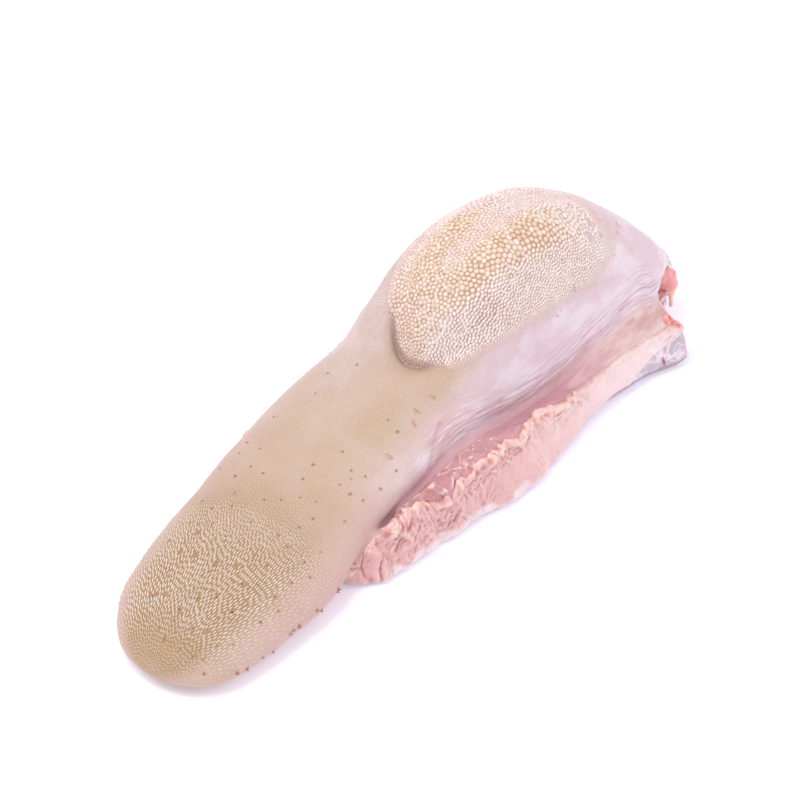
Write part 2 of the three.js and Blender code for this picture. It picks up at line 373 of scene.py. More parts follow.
@dataclass(frozen=True)
class LipLines:
    """Where the lining's furrow, crest and rim run on one side, as |y| and z along the tongue."""

    furrow_y: Curve
    furrow_z: Curve
    crest_y: Curve
    crest_z: Curve
    rim_y: Curve

    ruffle: Curve = Curve(((-97, 0), (160, 0)))

    @staticmethod
    def slant(y: Array, z: Array) -> Array:
        """A coordinate that grows from the furrow over the crest and down to the rim."""
        return (np.abs(y) - 41) - (z - 26)

    def marks(self, x: Array) -> tuple[Array, Array, Array]:
        """The slant of the furrow, of the crest and of the rim at each x."""
        furrow = self.slant(self.furrow_y.at(x), self.furrow_z.at(x))
        crest = self.slant(self.crest_y.at(x), self.crest_z.at(x)) + self.ruffle.at(x)
        return furrow, crest, self.slant(self.rim_y.at(x), np.full(len(x), 5.0))


FASCIA_TOP = Curve(((-97, -6), (98, -4), (108, 2), (124, 11), (145, 17), (160, 19)))

NEAR_LIP = LipLines(
    furrow_y=Curve(((-97, 30), (-60, 38), (-20, 41), (70, 42), (135, 41), (160, 38))),
    furrow_z=Curve(((-97, 10), (-60, 18), (-20, 29), (0, 31), (40, 27), (65, 27), (98, 33), (135, 39),
                    (160, 32))),
    crest_y=Curve(((-97, 40), (-60, 48), (-20, 51), (40, 53), (110, 50), (140, 53), (160, 56))),
    crest_z=Curve(((-97, 13), (-60, 24), (-20, 30), (30, 31), (60, 27), (100, 23), (160, 22))),
    rim_y=Curve(((-97, 42), (-72, 55), (-50, 57), (-12, 61), (18, 66), (40, 64), (59, 60), (97, 55),
                 (124, 57), (153, 64), (160, 63))),
    ruffle=Curve(((-97, 0), (-66, 4), (-50, 0), (-31, 8), (-7, 5), (15, 4), (44, -1), (61, 2), (79, 2),
                  (160, 0))),
)
FAR_LIP = LipLines(
    furrow_y=Curve(((-97, 30), (-60, 40), (-20, 44), (30, 47), (70, 48), (135, 45), (160, 40))),
    furrow_z=Curve(((-97, 10), (-60, 18), (-20, 28), (20, 29), (65, 26), (98, 30), (135, 35), (160, 30))),
    crest_y=Curve(((-97, 38), (-60, 46), (-20, 49), (20, 53), (60, 55), (110, 54), (160, 55))),
    crest_z=Curve(((-97, 12), (-60, 20), (-20, 26), (30, 29), (60, 27), (100, 23), (160, 22))),
    rim_y=Curve(((-97, 40), (-70, 49), (-20, 52), (20, 57), (60, 61), (100, 60), (160, 63))),
)


# Places in drawn coordinates: the flap that hangs from the cut; a small hole, a bruise and raw meat
# on the lip's end; the crease and the pale swelling of the near side of the neck; and the path of the painted
# shade there.
FLAP_PATH = np.array([
    (166, -18, 33), (175, -25, 32), (180.5, -29.5, 26), (182.5, -32, 18), (181.5, -34, 10),
])
LIP_HOLE = np.array([138.6, -59.7, 8.5])
HOLE_RADII = np.array([1.0, 2.0, 2.6])
BRUISE = np.array([158.0, -58.0, 10.0])
BRUISE_RADII = np.array([6.5, 9.0, 9.0])
RAW_MEAT = np.array([155.0, -52.0, 22.5])
RAW_RADII = np.array([8.0, 8.0, 5.5])
NECK_PATH = np.array([(-32, -40, 33), (-14, -36, 42), (-4, -33, 47)])
NECK_CREASE = np.array([
    (-9.7, -33.7, 44.6), (-15.7, -36.7, 41.6), (-20.7, -38.7, 37.6), (-26.7, -40.7, 31.6),
])
NECK_SWELL = np.array([-29.0, -37.5, 37.0])


def distance_to_path(points: Array, path: Array) -> Array:
    """How far each point is from a path of straight stretches."""
    nearest = np.full(len(points), np.inf)
    for start, end in zip(path[:-1], path[1:]):
        run = end - start
        share = np.clip((points - start) @ run / (run @ run), 0, 1)
        nearest = np.minimum(nearest, np.linalg.norm(points - start - share[:, None] * run, axis=1))
    return nearest


def share_of(points: Array, middle: Sequence[float], radii: Sequence[float]) -> Array:
    """Distance from an ellipsoid's middle as a share of its size, for each point."""
    return np.linalg.norm((points - np.array(middle)) / np.array(radii), axis=-1)


def rim_line(x: Array, z: Array, rough: Array) -> Array:
    """The dark line low on the rim behind, with an upper border that is uneven by rough."""
    return smoothstep(92, 104, x) * (1 - smoothstep(5.2, 6.6, z + rough)) * smoothstep(2.6, 3.8, z)


@dataclass
class Skin:
    """The whole surface of the meat: remeshed from the CAD solid, softened and sculpted."""

    voxel: float = 0.85
    most_triangles: int = 180_000
    cut_foot: tuple[float, float] = (173, 0)
    cut_top: tuple[float, float] = (188, 46)
    pocket: Triple = (172, -40, 26)
    pocket_radii: Triple = (11, 12, 13)
    tip_corner: tuple[float, float] = (-183.5, -42.5)
    tip_corner_size: float = 13
    tip_corner_shift: Triple = (1.5, 1.3, 0.0)
    slack: Curve = Curve(((-97, 0.8), (-85, 1.2), (-60, 1.1), (40, 1), (75, 0.45), (110, 0.25),
                          (160, 0.4)))
    frill_height: float = 0.9
    obj: bpy.types.Object = field(init=False)

    def build(self) -> bpy.types.Object:
        """Makes the finished skin mesh."""
        source = frame["nodes"][NODE]
        self.obj = bpy.data.objects.new("tongue_flesh", source.data.copy())
        bpy.context.collection.objects.link(self.obj)
        activate(self.obj)
        bpy.ops.object.mode_set(mode="EDIT")
        bpy.ops.mesh.select_all(action="SELECT")
        bpy.ops.mesh.remove_doubles(threshold=1e-5)
        bpy.ops.object.mode_set(mode="OBJECT")
        self.obj.data.remesh_voxel_size = self.voxel * MM
        bpy.ops.object.voxel_remesh()
        self._soften()
        p, normals = self._drawn(), read_normals(self.obj.data)
        lining = self._lining(p)
        folds = self._lining_folds(p)
        self._sculpt(p, normals, lining, folds)
        self._mark_zones(p, lining, folds)
        self._thin_out(lining)
        mesh = self.obj.data
        mesh.polygons.foreach_set("use_smooth", [True] * len(mesh.polygons))
        return self.obj

    def _drawn(self) -> Array:
        """The vertices in drawn coordinates."""
        return read_points(self.obj.data) - DRAWN_ORIGIN

    def _from_cut(self, p: Array) -> Array:
        """How far each point lies behind the slanting cut, negative inside the meat."""
        run, rise = self.cut_top[0] - self.cut_foot[0], self.cut_top[1] - self.cut_foot[1]
        length = math.hypot(run, rise)
        return ((p[:, 0] - self.cut_foot[0]) * rise - (p[:, 2] - self.cut_foot[1]) * run) / length

    def _lining(self, p: Array) -> Array:
        """1 on the slack lining and 0 on the tongue's own skin."""
        x, _, z = p.T
        low = 1 - smoothstep(4, 10, z - ANATOMY.edge.at(x))
        return smoothstep(1.0, 3.0, ANATOMY.outside(p)) * low * smoothstep(-102, -96, x)

    def _lip_place(self, p: Array) -> tuple[Array, Array, Array, Array]:
        """The slant of each point and of its own side's furrow, crest and rim."""
        x, y, z = p.T
        near = (y < 0)
        marks = [np.where(near, a, b) for a, b in zip(NEAR_LIP.marks(x), FAR_LIP.marks(x))]
        return LipLines.slant(y, z), marks[0], marks[1], marks[2]

    def _soften(self) -> None:
        """Smooths the facets away, most on the blade and back and least on the folds."""
        p = self._drawn()
        lining = self._lining(p)
        rear = smoothstep(158, 168, p[:, 0])
        low = 1 - smoothstep(0.4, 2.5, p[:, 2])
        broad = vertex_group(self.obj, "broad", (1 - lining) * (1 - rear) * (1 - 0.85 * low))
        apply_modifier(self.obj, "SMOOTH", factor=0.5, iterations=44, vertex_group=broad)
        close = vertex_group(self.obj, "close", np.clip(lining + rear, 0, 1) * (1 - 0.8 * low))
        apply_modifier(self.obj, "SMOOTH", factor=0.5, iterations=9, vertex_group=close)

    def _sculpt(self, p: Array, normals: Array, lining: Array, folds: Array) -> None:
        """Pushes the surface in and out along its normals.

        Args:
            p: the vertices in drawn coordinates.
            normals: their normals.
            lining: how far each is on the slack lining.
            folds: the lining's relief.
        """
        above = smoothstep(0.8, 3, p[:, 2])
        own = 1 - lining
        push = (self._blade_swell(p) + self._hump_lobes(p) + self._flank_lines(p)) * own
        push += self._groove(p) + folds * lining + self._cut_grain(p)
        push -= 1.2 * np.exp(-((distance_to_path(p, NECK_CREASE) / 1.3) ** 2))
        push += 0.9 * np.exp(-((np.linalg.norm(p - NECK_SWELL, axis=1) / 7) ** 2))
        corner = np.linalg.norm(p[:, :2] - self.tip_corner, axis=1) / self.tip_corner_size
        moved = p + normals * (push * above)[:, None] + self._flap_point(p)
        moved += np.exp(-(corner**2))[:, None] * np.array(self.tip_corner_shift)
        write_points(self.obj.data, moved + DRAWN_ORIGIN)

    def _flap_point(self, p: Array) -> Array:
        """Draws the hanging flap's lower end out to a point."""
        high, low = FLAP_PATH[-2], FLAP_PATH[-1]
        along = (high[2] - p[:, 2]) / (high[2] - low[2])
        axis = high + (low - high) * along[:, None]
        near = 1 - smoothstep(5.5, 8, np.linalg.norm((p - axis)[:, :2], axis=1))
        near *= (p[:, 0] > 172) * smoothstep(21, 8, p[:, 2])
        shift = (axis - p) * 0.8
        shift[:, 2] = -0.4 * np.maximum(16 - p[:, 2], 0)
        return shift * near[:, None]

    def _blade_swell(self, p: Array) -> Array:
        """Soft unevenness of the blade and the flanks."""
        return 0.5 * stretched_noise(p, (26, 18, 18), 1) + 0.2 * stretched_noise(p, (11, 9, 9), 2)

    def _hump_lobes(self, p: Array) -> Array:
        """The shallow lengthwise valley in the middle of the hump and a swell on each side."""
        x, y, z = p.T
        along = smoothstep(30, 60, x) * (1 - smoothstep(105, 130, x)) * (z > 60)
        valley = -0.9 * np.exp(-(((y - 1.5) / 5.5) ** 2))
        lobes = 0.6 * (np.exp(-(((y + 14) / 8) ** 2)) + np.exp(-(((y - 17) / 8) ** 2)))
        front = 0.4 * stretched_noise(p, (8, 6, 6), 3) * (z > 58) * (1 - smoothstep(40, 62, x))
        return along * (valley + lobes) + front

    def _flank_lines(self, p: Array) -> Array:
        """Low lengthwise ridges where the flank runs down into the furrow."""
        x, y, z = p.T
        side_z = np.where(y < 0, NEAR_LIP.furrow_z.at(x), FAR_LIP.furrow_z.at(x))
        height = z - side_z
        reach = smoothstep(-3, 2, height) * (1 - smoothstep(8, 17, height)) * smoothstep(-40, -5, x)
        ridges = 1 - 2 * np.abs(stretched_noise(np.column_stack([x, height, y * 0]), (22, 2.4, 9), 6))
        return 0.38 * reach * ridges

    def _groove(self, p: Array) -> Array:
        """The sharp crease in the bottom of the crescent groove."""
        x, y, z = p.T
        radius, turn = ANATOMY.hump.radius(x, y)
        reach = 1 - smoothstep(0.25, 0.6, np.abs(turn - 0.13))
        off = (radius - ANATOMY.hump.groove_place - 0.015) * ANATOMY.hump.front
        crease = -3.0 * np.exp(-((off / 1.5) ** 2)) + 1.5 * np.exp(-(((off + 5) / 4) ** 2))
        return crease * reach * (z > 40)

    def _lining_folds(self, p: Array) -> Array:
        """The frilled crest, the wrinkles and pads outside it and the bunched folds in front."""
        x, y, z = p.T
        side = np.where(y < 0, 0.0, 37.0)
        slant, _, crest, rim = self._lip_place(p)
        line = np.column_stack([x, side, 0 * x])
        wander = 2.6 * stretched_noise(line, (12, 9, 9), 41) + 1.6 * stretched_noise(line, (4.5, 9, 9), 42)
        past = slant - crest - wander * (1 - smoothstep(80, 110, x))
        edge = smoothstep(-1.7, 0.1, past) * np.exp(-np.maximum(past, 0) / 5)
        frill = 1 + 0.9 * stretched_noise(line, (7, 9, 9), 43) + 1.0 * stretched_noise(line, (2.8, 9, 9), 44)
        frill = np.clip(frill, 0.15, 2.4) * self.frill_height
        warp_a, warp_b = 5 * stretched_noise(p, (15, 15, 15), 11), 5 * stretched_noise(p, (12, 12, 12), 12)
        lean = np.column_stack([x + 0.30 * slant + warp_a, slant + warp_b, side])
        back = np.column_stack([x - 0.8 * slant - warp_a, slant + 0.6 * x - warp_b, side])
        ridges = thin_ridges(lean, (4.2, 20, 9), 15)
        cross = thin_ridges(back, (6.5, 15, 9), 16)
        lumps = stretched_noise(p, (11, 10, 10), 18)
        outer = smoothstep(-1, 3, past)
        share = np.clip((slant - crest) / np.maximum(rim - crest, 5), 0, 1)
        calm = 1 - 0.8 * smoothstep(0.3, 0.75, share)
        front = 1 - smoothstep(-72, -60, x)
        bunch = thin_ridges(np.column_stack([x + 0.25 * slant, slant, side]), (7.5, 30, 9), 19)
        pad = (0.3 * ridges + 0.3 * cross - 0.2) * calm + 1.0 * lumps
        hollow = 0.2 * lumps
        relief = frill * edge * (1 - 0.6 * front) + outer * pad + (1 - outer) * hollow
        front = np.maximum(front, 0.5 * (1 - smoothstep(-48, -36, x)))
        relief = relief * (1 - front) + front * ((2.6 * bunch - 0.8) * smoothstep(4, 8, z) + 0.3 * relief)
        return relief * self.slack.at(x)

    def _cut_grain(self, p: Array) -> Array:
        """Bundles of muscle that stand out of the cut and the torn ends."""
        face = smoothstep(-3, 0, self._from_cut(p))
        coarse, fine = stretched_noise(p, (7, 5, 5), 21), stretched_noise(p, (3, 2.6, 2.6), 22)
        return face * (0.8 * coarse + 0.5 * fine)

    def _thin_out(self, lining: Array) -> None:
        """Keeps the triangles under the limit, and most of them on the lining."""
        count = sum(len(f.vertices) - 2 for f in self.obj.data.polygons)
        if count > self.most_triangles:
            plain = vertex_group(self.obj, "plain", 1 - 0.4 * lining)
            apply_modifier(self.obj, "DECIMATE", ratio=self.most_triangles / count, vertex_group=plain)
        LOG.info("skin thinned from %d triangles", count)

    def _mark_zones(self, p: Array, lining: Array, folds: Array) -> None:
        """Stores what the material needs to know about each place.

        Args:
            p: the vertices in drawn coordinates, before the sculpting.
            lining: how far each is on the slack lining.
            folds: the lining's relief.
        """
        x, y, z = p.T
        outside, own = ANATOMY.outside(p), 1 - lining
        rough = 5 * stretched_noise(p, (9, 9, 9), 31) + 3 * stretched_noise(p, (4, 4, 4), 32)
        tan = tan_share(p, 0.5 * rough) * own * (1 - smoothstep(84, 112, x + rough))
        across = ANATOMY.across(p)
        olive = smoothstep(-196, -184, x) * (1 - smoothstep(-135, -60, x))
        olive *= 1 - smoothstep(0.5, 0.98, np.abs(across - 0.02))
        valley = np.exp(-(((y - 3.5) / 6.5) ** 2)) * smoothstep(34, 50, x) * (z > 60)
        cobble = cobble_share(p) * (1 - 0.75 * valley) * (1 - 0.8 * smoothstep(74, 108, x + 0.9 * y))
        cobble *= 1 - 0.65 * smoothstep(-18, -25, y)
        far_side = smoothstep(-60, 5, x) * smoothstep(-5, 24, y)
        far_side = np.maximum(far_side, 0.75 * smoothstep(0.45, 0.95, across))
        tan *= (1 - 0.7 * valley) * (1 - 0.6 * far_side) * (0.5 + 0.5 * smoothstep(-190, -172, x))
        slant, furrow, crest, _ = self._lip_place(p)
        gutter = smoothstep(-6, -1, slant - furrow) * (1 - smoothstep(-3, 3, slant - crest))
        gutter *= smoothstep(-60, -25, x) * (1 - smoothstep(70, 135, x))
        side_z = np.where(y < 0, NEAR_LIP.furrow_z.at(x), FAR_LIP.furrow_z.at(x))
        height = z - side_z
        fascia = lining * smoothstep(-1, 1, FASCIA_TOP.at(x) - z + 0.1 * rough)
        fascia = np.maximum(fascia, (1 - smoothstep(2, 6, z + rough * 0.3)) * lining * 0.75)
        torn = smoothstep(-1.6, -0.4, self._from_cut(p) + 0.3 * stretched_noise(p, (4, 4, 4), 33))
        torn = np.maximum(torn, 1 - smoothstep(1.02, 1.14, share_of(p, self.pocket, self.pocket_radii)))
        torn = np.maximum(torn, smoothstep(168, 172, x) * smoothstep(1.5, 3.5, outside) * (z > 3))
        torn = np.maximum(torn, lining * smoothstep(157, 160.5, x + rough * 0.3))
        rind = smoothstep(-3.2, -1.2, outside + 0.4 * rough) * smoothstep(-1.6, -0.4, self._from_cut(p))
        striae = smoothstep(-6, 0, height) * (1 - smoothstep(9, 23, height)) * own * smoothstep(-45, -5, x)
        # Painted shade: a brown patch low on the hump's near side, and a dark line with a broader soft shade
        # along the crescent groove before the hump.
        dusk = 0.5 * np.exp(-(((x - 36) / 18) ** 2) - ((y + 23) / 6) ** 2) * (z > 50)
        radius, turned = ANATOMY.hump.radius(x, y)
        moat = np.exp(-(((radius - ANATOMY.hump.groove_place - 0.015) * ANATOMY.hump.front / 2.3) ** 2))
        broad = np.exp(-(((radius - 1.07) / 0.07) ** 2)) * (1 - smoothstep(0.5, 1.05, np.abs(turned)))
        moat = 0.85 * moat * (1 - smoothstep(0.25, 0.6, np.abs(turned - 0.13)))
        dusk = np.maximum(dusk, np.maximum(moat, 0.42 * broad) * (z > 40))
        flap = 1 - smoothstep(6.5, 8.5, distance_to_path(p, FLAP_PATH))
        flap *= 1 - (1 - smoothstep(176.5, 178.5, x)) * (1 - smoothstep(20, 24, z))
        hole = 1 - smoothstep(0.8, 1.2, share_of(p, LIP_HOLE, HOLE_RADII))
        hole = np.maximum(hole, 0.6 * lining * rim_line(x, z, 0.12 * rough))
        raw = 1 - smoothstep(0.75, 1.05, share_of(p, RAW_MEAT, RAW_RADII) + 0.04 * rough)
        bruise = 1 - smoothstep(0.6, 1, share_of(p, BRUISE, BRUISE_RADII) + 0.04 * rough)
        raw = np.maximum(raw, 0.5 * bruise)
        zones = {
            Zone.TAN: tan, Zone.OLIVE: olive * own, Zone.COBBLE: cobble * own, Zone.LINING: lining,
            Zone.GUTTER: gutter, Zone.FASCIA: fascia, Zone.MEAT: torn, Zone.RIND: rind,
            # RELIEF steers the painted shade in the lining's creases and the painted highlight on its ridges.
            Zone.RELIEF: 0.5 + 0.25 * folds * lining, Zone.STRIAE: striae, Zone.DUSK: dusk,
            Zone.FLAP: flap, Zone.HOLE: hole, Zone.EDGE: 1 - smoothstep(-75, -35, x),
            Zone.SWELL: np.exp(-((np.linalg.norm(p - NECK_SWELL, axis=1) / 6) ** 2)),
            # NECK is painted shade on the near side of the neck.
            Zone.NECK: own * np.exp(-((distance_to_path(p, NECK_PATH) / 8) ** 2)), Zone.RAW: raw,
        }
        for zone, values in zones.items():
            write_attribute(self.obj.data, zone.value, np.clip(values, 0, 1))
        write_attribute(self.obj.data, Zone.STRAND.value, height)


def tan_share(p: Array, rough: Array | float = 0.0) -> Array:
    """How far each drawn point lies on the tan dorsal skin.

    Args:
        p: points in drawn coordinates.
        rough: unevenness of the border, in degrees round the section.

    Returns:
        1 on the dorsal skin, falling to 0 down the flanks.
    """
    x = p[:, 0]
    near = Curve(((-191, -30), (-172, -8), (-150, 3), (-120, 7), (-70, 9), (-41, 12), (-24, 15),
                  (3, 25), (16, 36), (30, 47), (57, 53), (85, 55), (118, 57), (140, 75),
                  (150, 95))).at(x)
    far = 180 - Curve(((-191, -30), (-70, -14), (-20, 2), (8, 26), (30, 34), (120, 40), (140, 65),
                       (150, 95))).at(x)
    fade = Curve(((-191, 26), (-60, 26), (-10, 20), (20, 13), (150, 12))).at(x)
    turn = ANATOMY.turn(p) + rough
    return smoothstep(near - fade / 2, near + fade, turn) * (1 - smoothstep(far - fade, far + fade / 2, turn))


def cobble_share(p: Array) -> Array:
    """1 where the hump carries papillae, falling to 0 round the patch."""
    uneven = stretched_noise(p, (9, 9, 9), 35)
    x, turn = p[:, 0], ANATOMY.turn(p) + 3 * uneven
    radius, turned = ANATOMY.hump.radius(x, p[:, 1])
    loose = smoothstep(0.4, 0.8, np.abs(turned - 0.1))
    front = smoothstep(0.99, 1.05 + 0.22 * loose, radius + 0.02 * uneven * loose)
    front = 1 - (1 - smoothstep(52, 78, x)) * front
    rear = 1 - smoothstep(118, 144, x + 0.25 * np.abs(p[:, 1]) + 5 * uneven)
    sides = smoothstep(32, 58, turn) * (1 - smoothstep(130, 154, turn))
    return front * rear * sides * (x > 5)


class Surface:
    """The finished skin, to set small things on it. Points are packed and in millimetres."""

    def __init__(self, obj: bpy.types.Object) -> None:
        """Reads the skin's mesh."""
        mesh = obj.data
        self.points = read_points(mesh)
        mesh.calc_loop_triangles()
        flat = np.empty(len(mesh.loop_triangles) * 3, np.int32)
        mesh.loop_triangles.foreach_get("vertices", flat)
        self.triangles = flat.reshape(-1, 3)
        self.tree = BVHTree.FromPolygons(self.points.tolist(), self.triangles.tolist())

    def drop(self, xy: Array) -> tuple[Array, Array, Array]:
        """Drops points straight down on the skin.

        Args:
            xy: places seen from above.

        Returns:
            The points hit, their normals, and which of xy hit anything.
        """
        hits = [self.tree.ray_cast(Vector((x, y, 200)), Vector((0, 0, -1))) for x, y in xy]
        good = np.array([h[0] is not None for h in hits])
        found = [h for h in hits if h[0] is not None]
        return np.array([h[0] for h in found]), np.array([h[1] for h in found]), good

    def settle(self, points: Array) -> tuple[Array, Array]:
        """The nearest points of the skin and their normals."""
        hits = [self.tree.find_nearest(Vector(p)) for p in points]
        return np.array([h[0] for h in hits]), np.array([h[1] for h in hits])

    def sample(self, weight: Callable[[Array], Array], random: np.random.Generator) -> Array:
        """Draws random places on the skin.

        Args:
            weight: how many places a square millimetre should hold, for drawn coordinates.
            random: the seeded generator.

        Returns:
            The places.
        """
        corners = self.points[self.triangles]
        one, two = corners[:, 1] - corners[:, 0], corners[:, 2] - corners[:, 0]
        area = np.linalg.norm(np.cross(one, two), axis=1) / 2
        expected = area * weight(corners.mean(axis=1) - DRAWN_ORIGIN)
        counts = np.floor(expected + random.random(len(expected))).astype(int)
        chosen = np.repeat(corners, counts, axis=0)
        a, b = random.random((2, len(chosen), 1))
        flip = a + b > 1
        a, b = np.where(flip, 1 - a, a), np.where(flip, 1 - b, b)
        return chosen[:, 0] + a * (chosen[:, 1] - chosen[:, 0]) + b * (chosen[:, 2] - chosen[:, 0])


# ------------------------------------------------------------------ the slack lining


def box_blur(grid: Array, reach: int) -> Array:
    """The mean of each cell's neighbourhood, reach cells each way."""
    for axis in (0, 1):
        padded = np.pad(grid, [(reach + 1, reach) if a == axis else (0, 0) for a in (0, 1)], mode="edge")
        sums = np.cumsum(padded, axis=axis)
        length = grid.shape[axis]
        upper = np.take(sums, np.arange(2 * reach + 1, 2 * reach + 1 + length), axis=axis)
        lower = np.take(sums, np.arange(length), axis=axis)
        grid = (upper - lower) / (2 * reach + 1)
    return grid


@dataclass
class LiningSheet:
    """The crumpled lining along one side, a fine sheet that lies on the lip and tucks into it.

    The sheet runs along X, and across from the furrow over the gutter and the frilled crest
    down to the rim.
    """

    name: str
    lines: LipLines
    side: int
    spacing: float
    seed: int
    front: float = -93
    rear: float = 160
    lowest: float = -30
    ends_fade: float = 5
    clearance: float = 0.3
    slack: Curve = Curve(((-97, 0.9), (-60, 1), (40, 1), (78, 0.55), (110, 0.28), (160, 0.4)))

    def build(self, surface: Surface) -> bpy.types.Object:
        """Makes the sheet over the finished skin."""
        xs = np.arange(self.front, self.rear, self.spacing)
        base, opening = self._base(xs, surface)
        rows, columns = base.shape[:2]
        normals = self._normals(base)
        flat = base.reshape(-1, 3)
        steps = np.linalg.norm(np.diff(base, axis=1), axis=2)
        arc = np.concatenate([np.zeros((rows, 1)), np.cumsum(steps, axis=1)], axis=1)
        slant = LipLines.slant(flat[:, 1], flat[:, 2]).reshape(rows, columns)
        _, crest, _ = self.lines.marks(xs)
        at_crest = np.argmax(slant > crest[:, None], axis=1)
        line = np.column_stack([xs, xs * 0 + self.seed, xs * 0])
        wander = 1.3 * stretched_noise(line, (7, 9, 9), 71) + 0.7 * stretched_noise(line, (2.6, 9, 9), 72)
        past = arc - arc[np.arange(rows), at_crest][:, None] + box_blur(wander[:, None], 1)
        grid_x = np.repeat(xs[:, None], columns, axis=1)
        height, lean = self._crumple(grid_x, past, arc)
        fade = smoothstep(0, self.ends_fade, grid_x - self.front)
        fade = fade * smoothstep(0, self.ends_fade, self.rear - grid_x)
        fade = fade * smoothstep(0, 4, arc) * smoothstep(0.6, 4, base[:, :, 2])
        height, lean = height * fade, lean * fade
        across = np.gradient(base, axis=1)
        across /= np.linalg.norm(across, axis=2, keepdims=True) + 1e-9
        behind = FASCIA_TOP.at(grid_x) - base[:, :, 2]
        edge = smoothstep(-0.4, 0.4, behind)
        ledge = smoothstep(-5, -0.6, behind) * (1 - edge) * smoothstep(96, 108, grid_x)
        tucked = 2 - smoothstep(0, 2.5, arc) - smoothstep(0, 2.5, fade * 2.5)
        lift = self.clearance - 0.1 * edge + 0.6 * ledge - 0.9 * tucked
        placed = base + normals * (height + lift)[:, :, None] - across * lean[:, :, None]
        obj = self._mesh(placed)
        self._mark_zones(obj, base, grid_x, past, height)
        LOG.info("%s: widest opening %.0f degrees", self.name, opening)
        return obj

    def _mark_zones(self, obj: bpy.types.Object, base: Array, x: Array, past: Array,
                    height: Array) -> None:
        """Stores what the material needs to know about each place.

        Args:
            obj: the finished sheet.
            base: the grid of drawn points before it was crumpled.
            x: the station of each.
            past: millimetres outside the crest.
            height: the height of the folds.
        """
        shape, flat, z = past.shape, base.reshape(-1, 3), base[:, :, 2]
        # The relief steers painted shade in the creases and a painted highlight on the ridges.
        relief = 0.5 + 0.95 * (height - box_blur(height, round(1.6 / self.spacing)))
        gutter = (1 - smoothstep(-2.5, 0, past)) * (1 - smoothstep(60, 130, x)) * smoothstep(-75, -40, x)
        rough = 3 * stretched_noise(flat, (6, 6, 6), 75).reshape(shape)
        fascia = smoothstep(-0.7, 0.7, FASCIA_TOP.at(x) - z + 0.25 * rough)
        fascia = np.maximum(fascia, 0.8 * (1 - smoothstep(1.5, 5, z + 0.4 * rough)))
        torn = stretched_noise(flat, (2.6, 2.6, 4), 76).reshape(shape)
        hole = 1 - smoothstep(0.5, 1.3, share_of(base, LIP_HOLE, HOLE_RADII) + 0.3 * torn)
        hole = np.maximum(hole, 0.6 * rim_line(x, z, 0.25 * rough))
        raw = 1 - smoothstep(0.75, 1.05, share_of(base, RAW_MEAT, RAW_RADII) + 0.08 * rough)
        bruise = 1 - smoothstep(0.6, 1.0, share_of(base, BRUISE, BRUISE_RADII) + 0.08 * rough)
        raw = np.maximum(raw, 0.6 * bruise)
        scrap = (1 - smoothstep(4.5, 8.5, z + 1.2 * rough)) * (1 - smoothstep(5, 40, x))
        fat = np.maximum(self._strands(flat).reshape(shape), 0.85 * scrap * smoothstep(-74, -66, x))
        marks = {Zone.RELIEF: relief, Zone.GUTTER: gutter, Zone.FASCIA: fascia, Zone.FAT: fat,
                 Zone.HOLE: hole, Zone.RAW: raw}
        for zone, values in marks.items():
            write_attribute(obj.data, zone.value, np.clip(values, 0, 1).ravel())

    @staticmethod
    def _strands(points: Array) -> Array:
        """White strands that fan out upwards from the hole in the fascia."""
        off = points - LIP_HOLE
        span = np.hypot(off[:, 0], off[:, 2])
        fan = np.column_stack([5 * np.arctan2(off[:, 2], off[:, 0]), 0.12 * span, 0 * span])
        strands = np.clip(1.8 - 4 * np.abs(stretched_noise(fan, (1, 1, 9), 77)), 0, 1)
        return strands * (1 - smoothstep(8, 14, span)) * smoothstep(-2, 2, off[:, 2] + 0.3 * off[:, 0])

    def _base(self, xs: Array, surface: Surface) -> tuple[Array, float]:
        """Feels for the lip's surface from inside it, from the furrow down to the rim.

        Args:
            xs: the stations.
            surface: the finished skin.

        Returns:
            A grid of drawn points, and the largest angle reached.
        """
        centres = np.column_stack([
            xs, self.side * (self.lines.furrow_y.at(xs) + 3), 0.35 * self.lines.furrow_z.at(xs),
        ])
        limit = 1.25 * np.hypot(3, 0.65 * self.lines.furrow_z.at(xs)) + 3
        limit += 3 * (1 - smoothstep(-45, -25, xs))
        tops = np.array([self._top(c, far, surface) for c, far in zip(centres, limit)])
        window = round(4 / self.spacing)
        tops = box_blur(tops[:, None], window)[:, 0] - 2
        columns = round(46 / self.spacing)
        share = np.linspace(0, 1, columns)
        angles = tops[:, None] + (self.lowest - tops[:, None]) * share[None, :]
        base = np.empty((len(xs), columns, 3))
        for i, centre in enumerate(centres):
            last = 20.0
            for j, angle in enumerate(angles[i]):
                reach = self._feel(centre, angle, surface)
                last = reach if reach is not None and reach < 34 else last
                base[i, j] = centre + last * self._direction(angle)
        base[:, :, 2] = np.maximum(base[:, :, 2], 0.25 - DRAWN_ORIGIN[2])
        for axis in range(3):
            base[:, :, axis] = box_blur(base[:, :, axis], 1)
        return base, float(tops.max())

    def _direction(self, angle: float) -> Array:
        """Outwards and up from inside the lip: 0 is level and 90 straight up."""
        turn = math.radians(angle)
        return np.array([0, self.side * math.cos(turn), math.sin(turn)])

    def _feel(self, centre: Array, angle: float, surface: Surface) -> float | None:
        """How far the skin is from the centre in one direction."""
        origin = Vector(centre + DRAWN_ORIGIN)
        return surface.tree.ray_cast(origin, Vector(self._direction(angle)))[3]

    def _top(self, centre: Array, limit: float, surface: Surface) -> float:
        """The steepest angle at which the lip's own surface is still met."""
        best = 40.0
        for angle in np.arange(40, 118, 2.0):
            reach = self._feel(centre, angle, surface)
            if reach is None or reach > limit:
                break
            best = angle
        return best

    @staticmethod
    def _normals(base: Array) -> Array:
        """Outward directions of the grid."""
        along, across = np.gradient(base, axis=0), np.gradient(base, axis=1)
        normals = np.cross(along, across)
        normals /= np.linalg.norm(normals, axis=2, keepdims=True) + 1e-9
        outward = 1.0 if normals[:, :, 2].mean() > 0 else -1.0
        return normals * outward

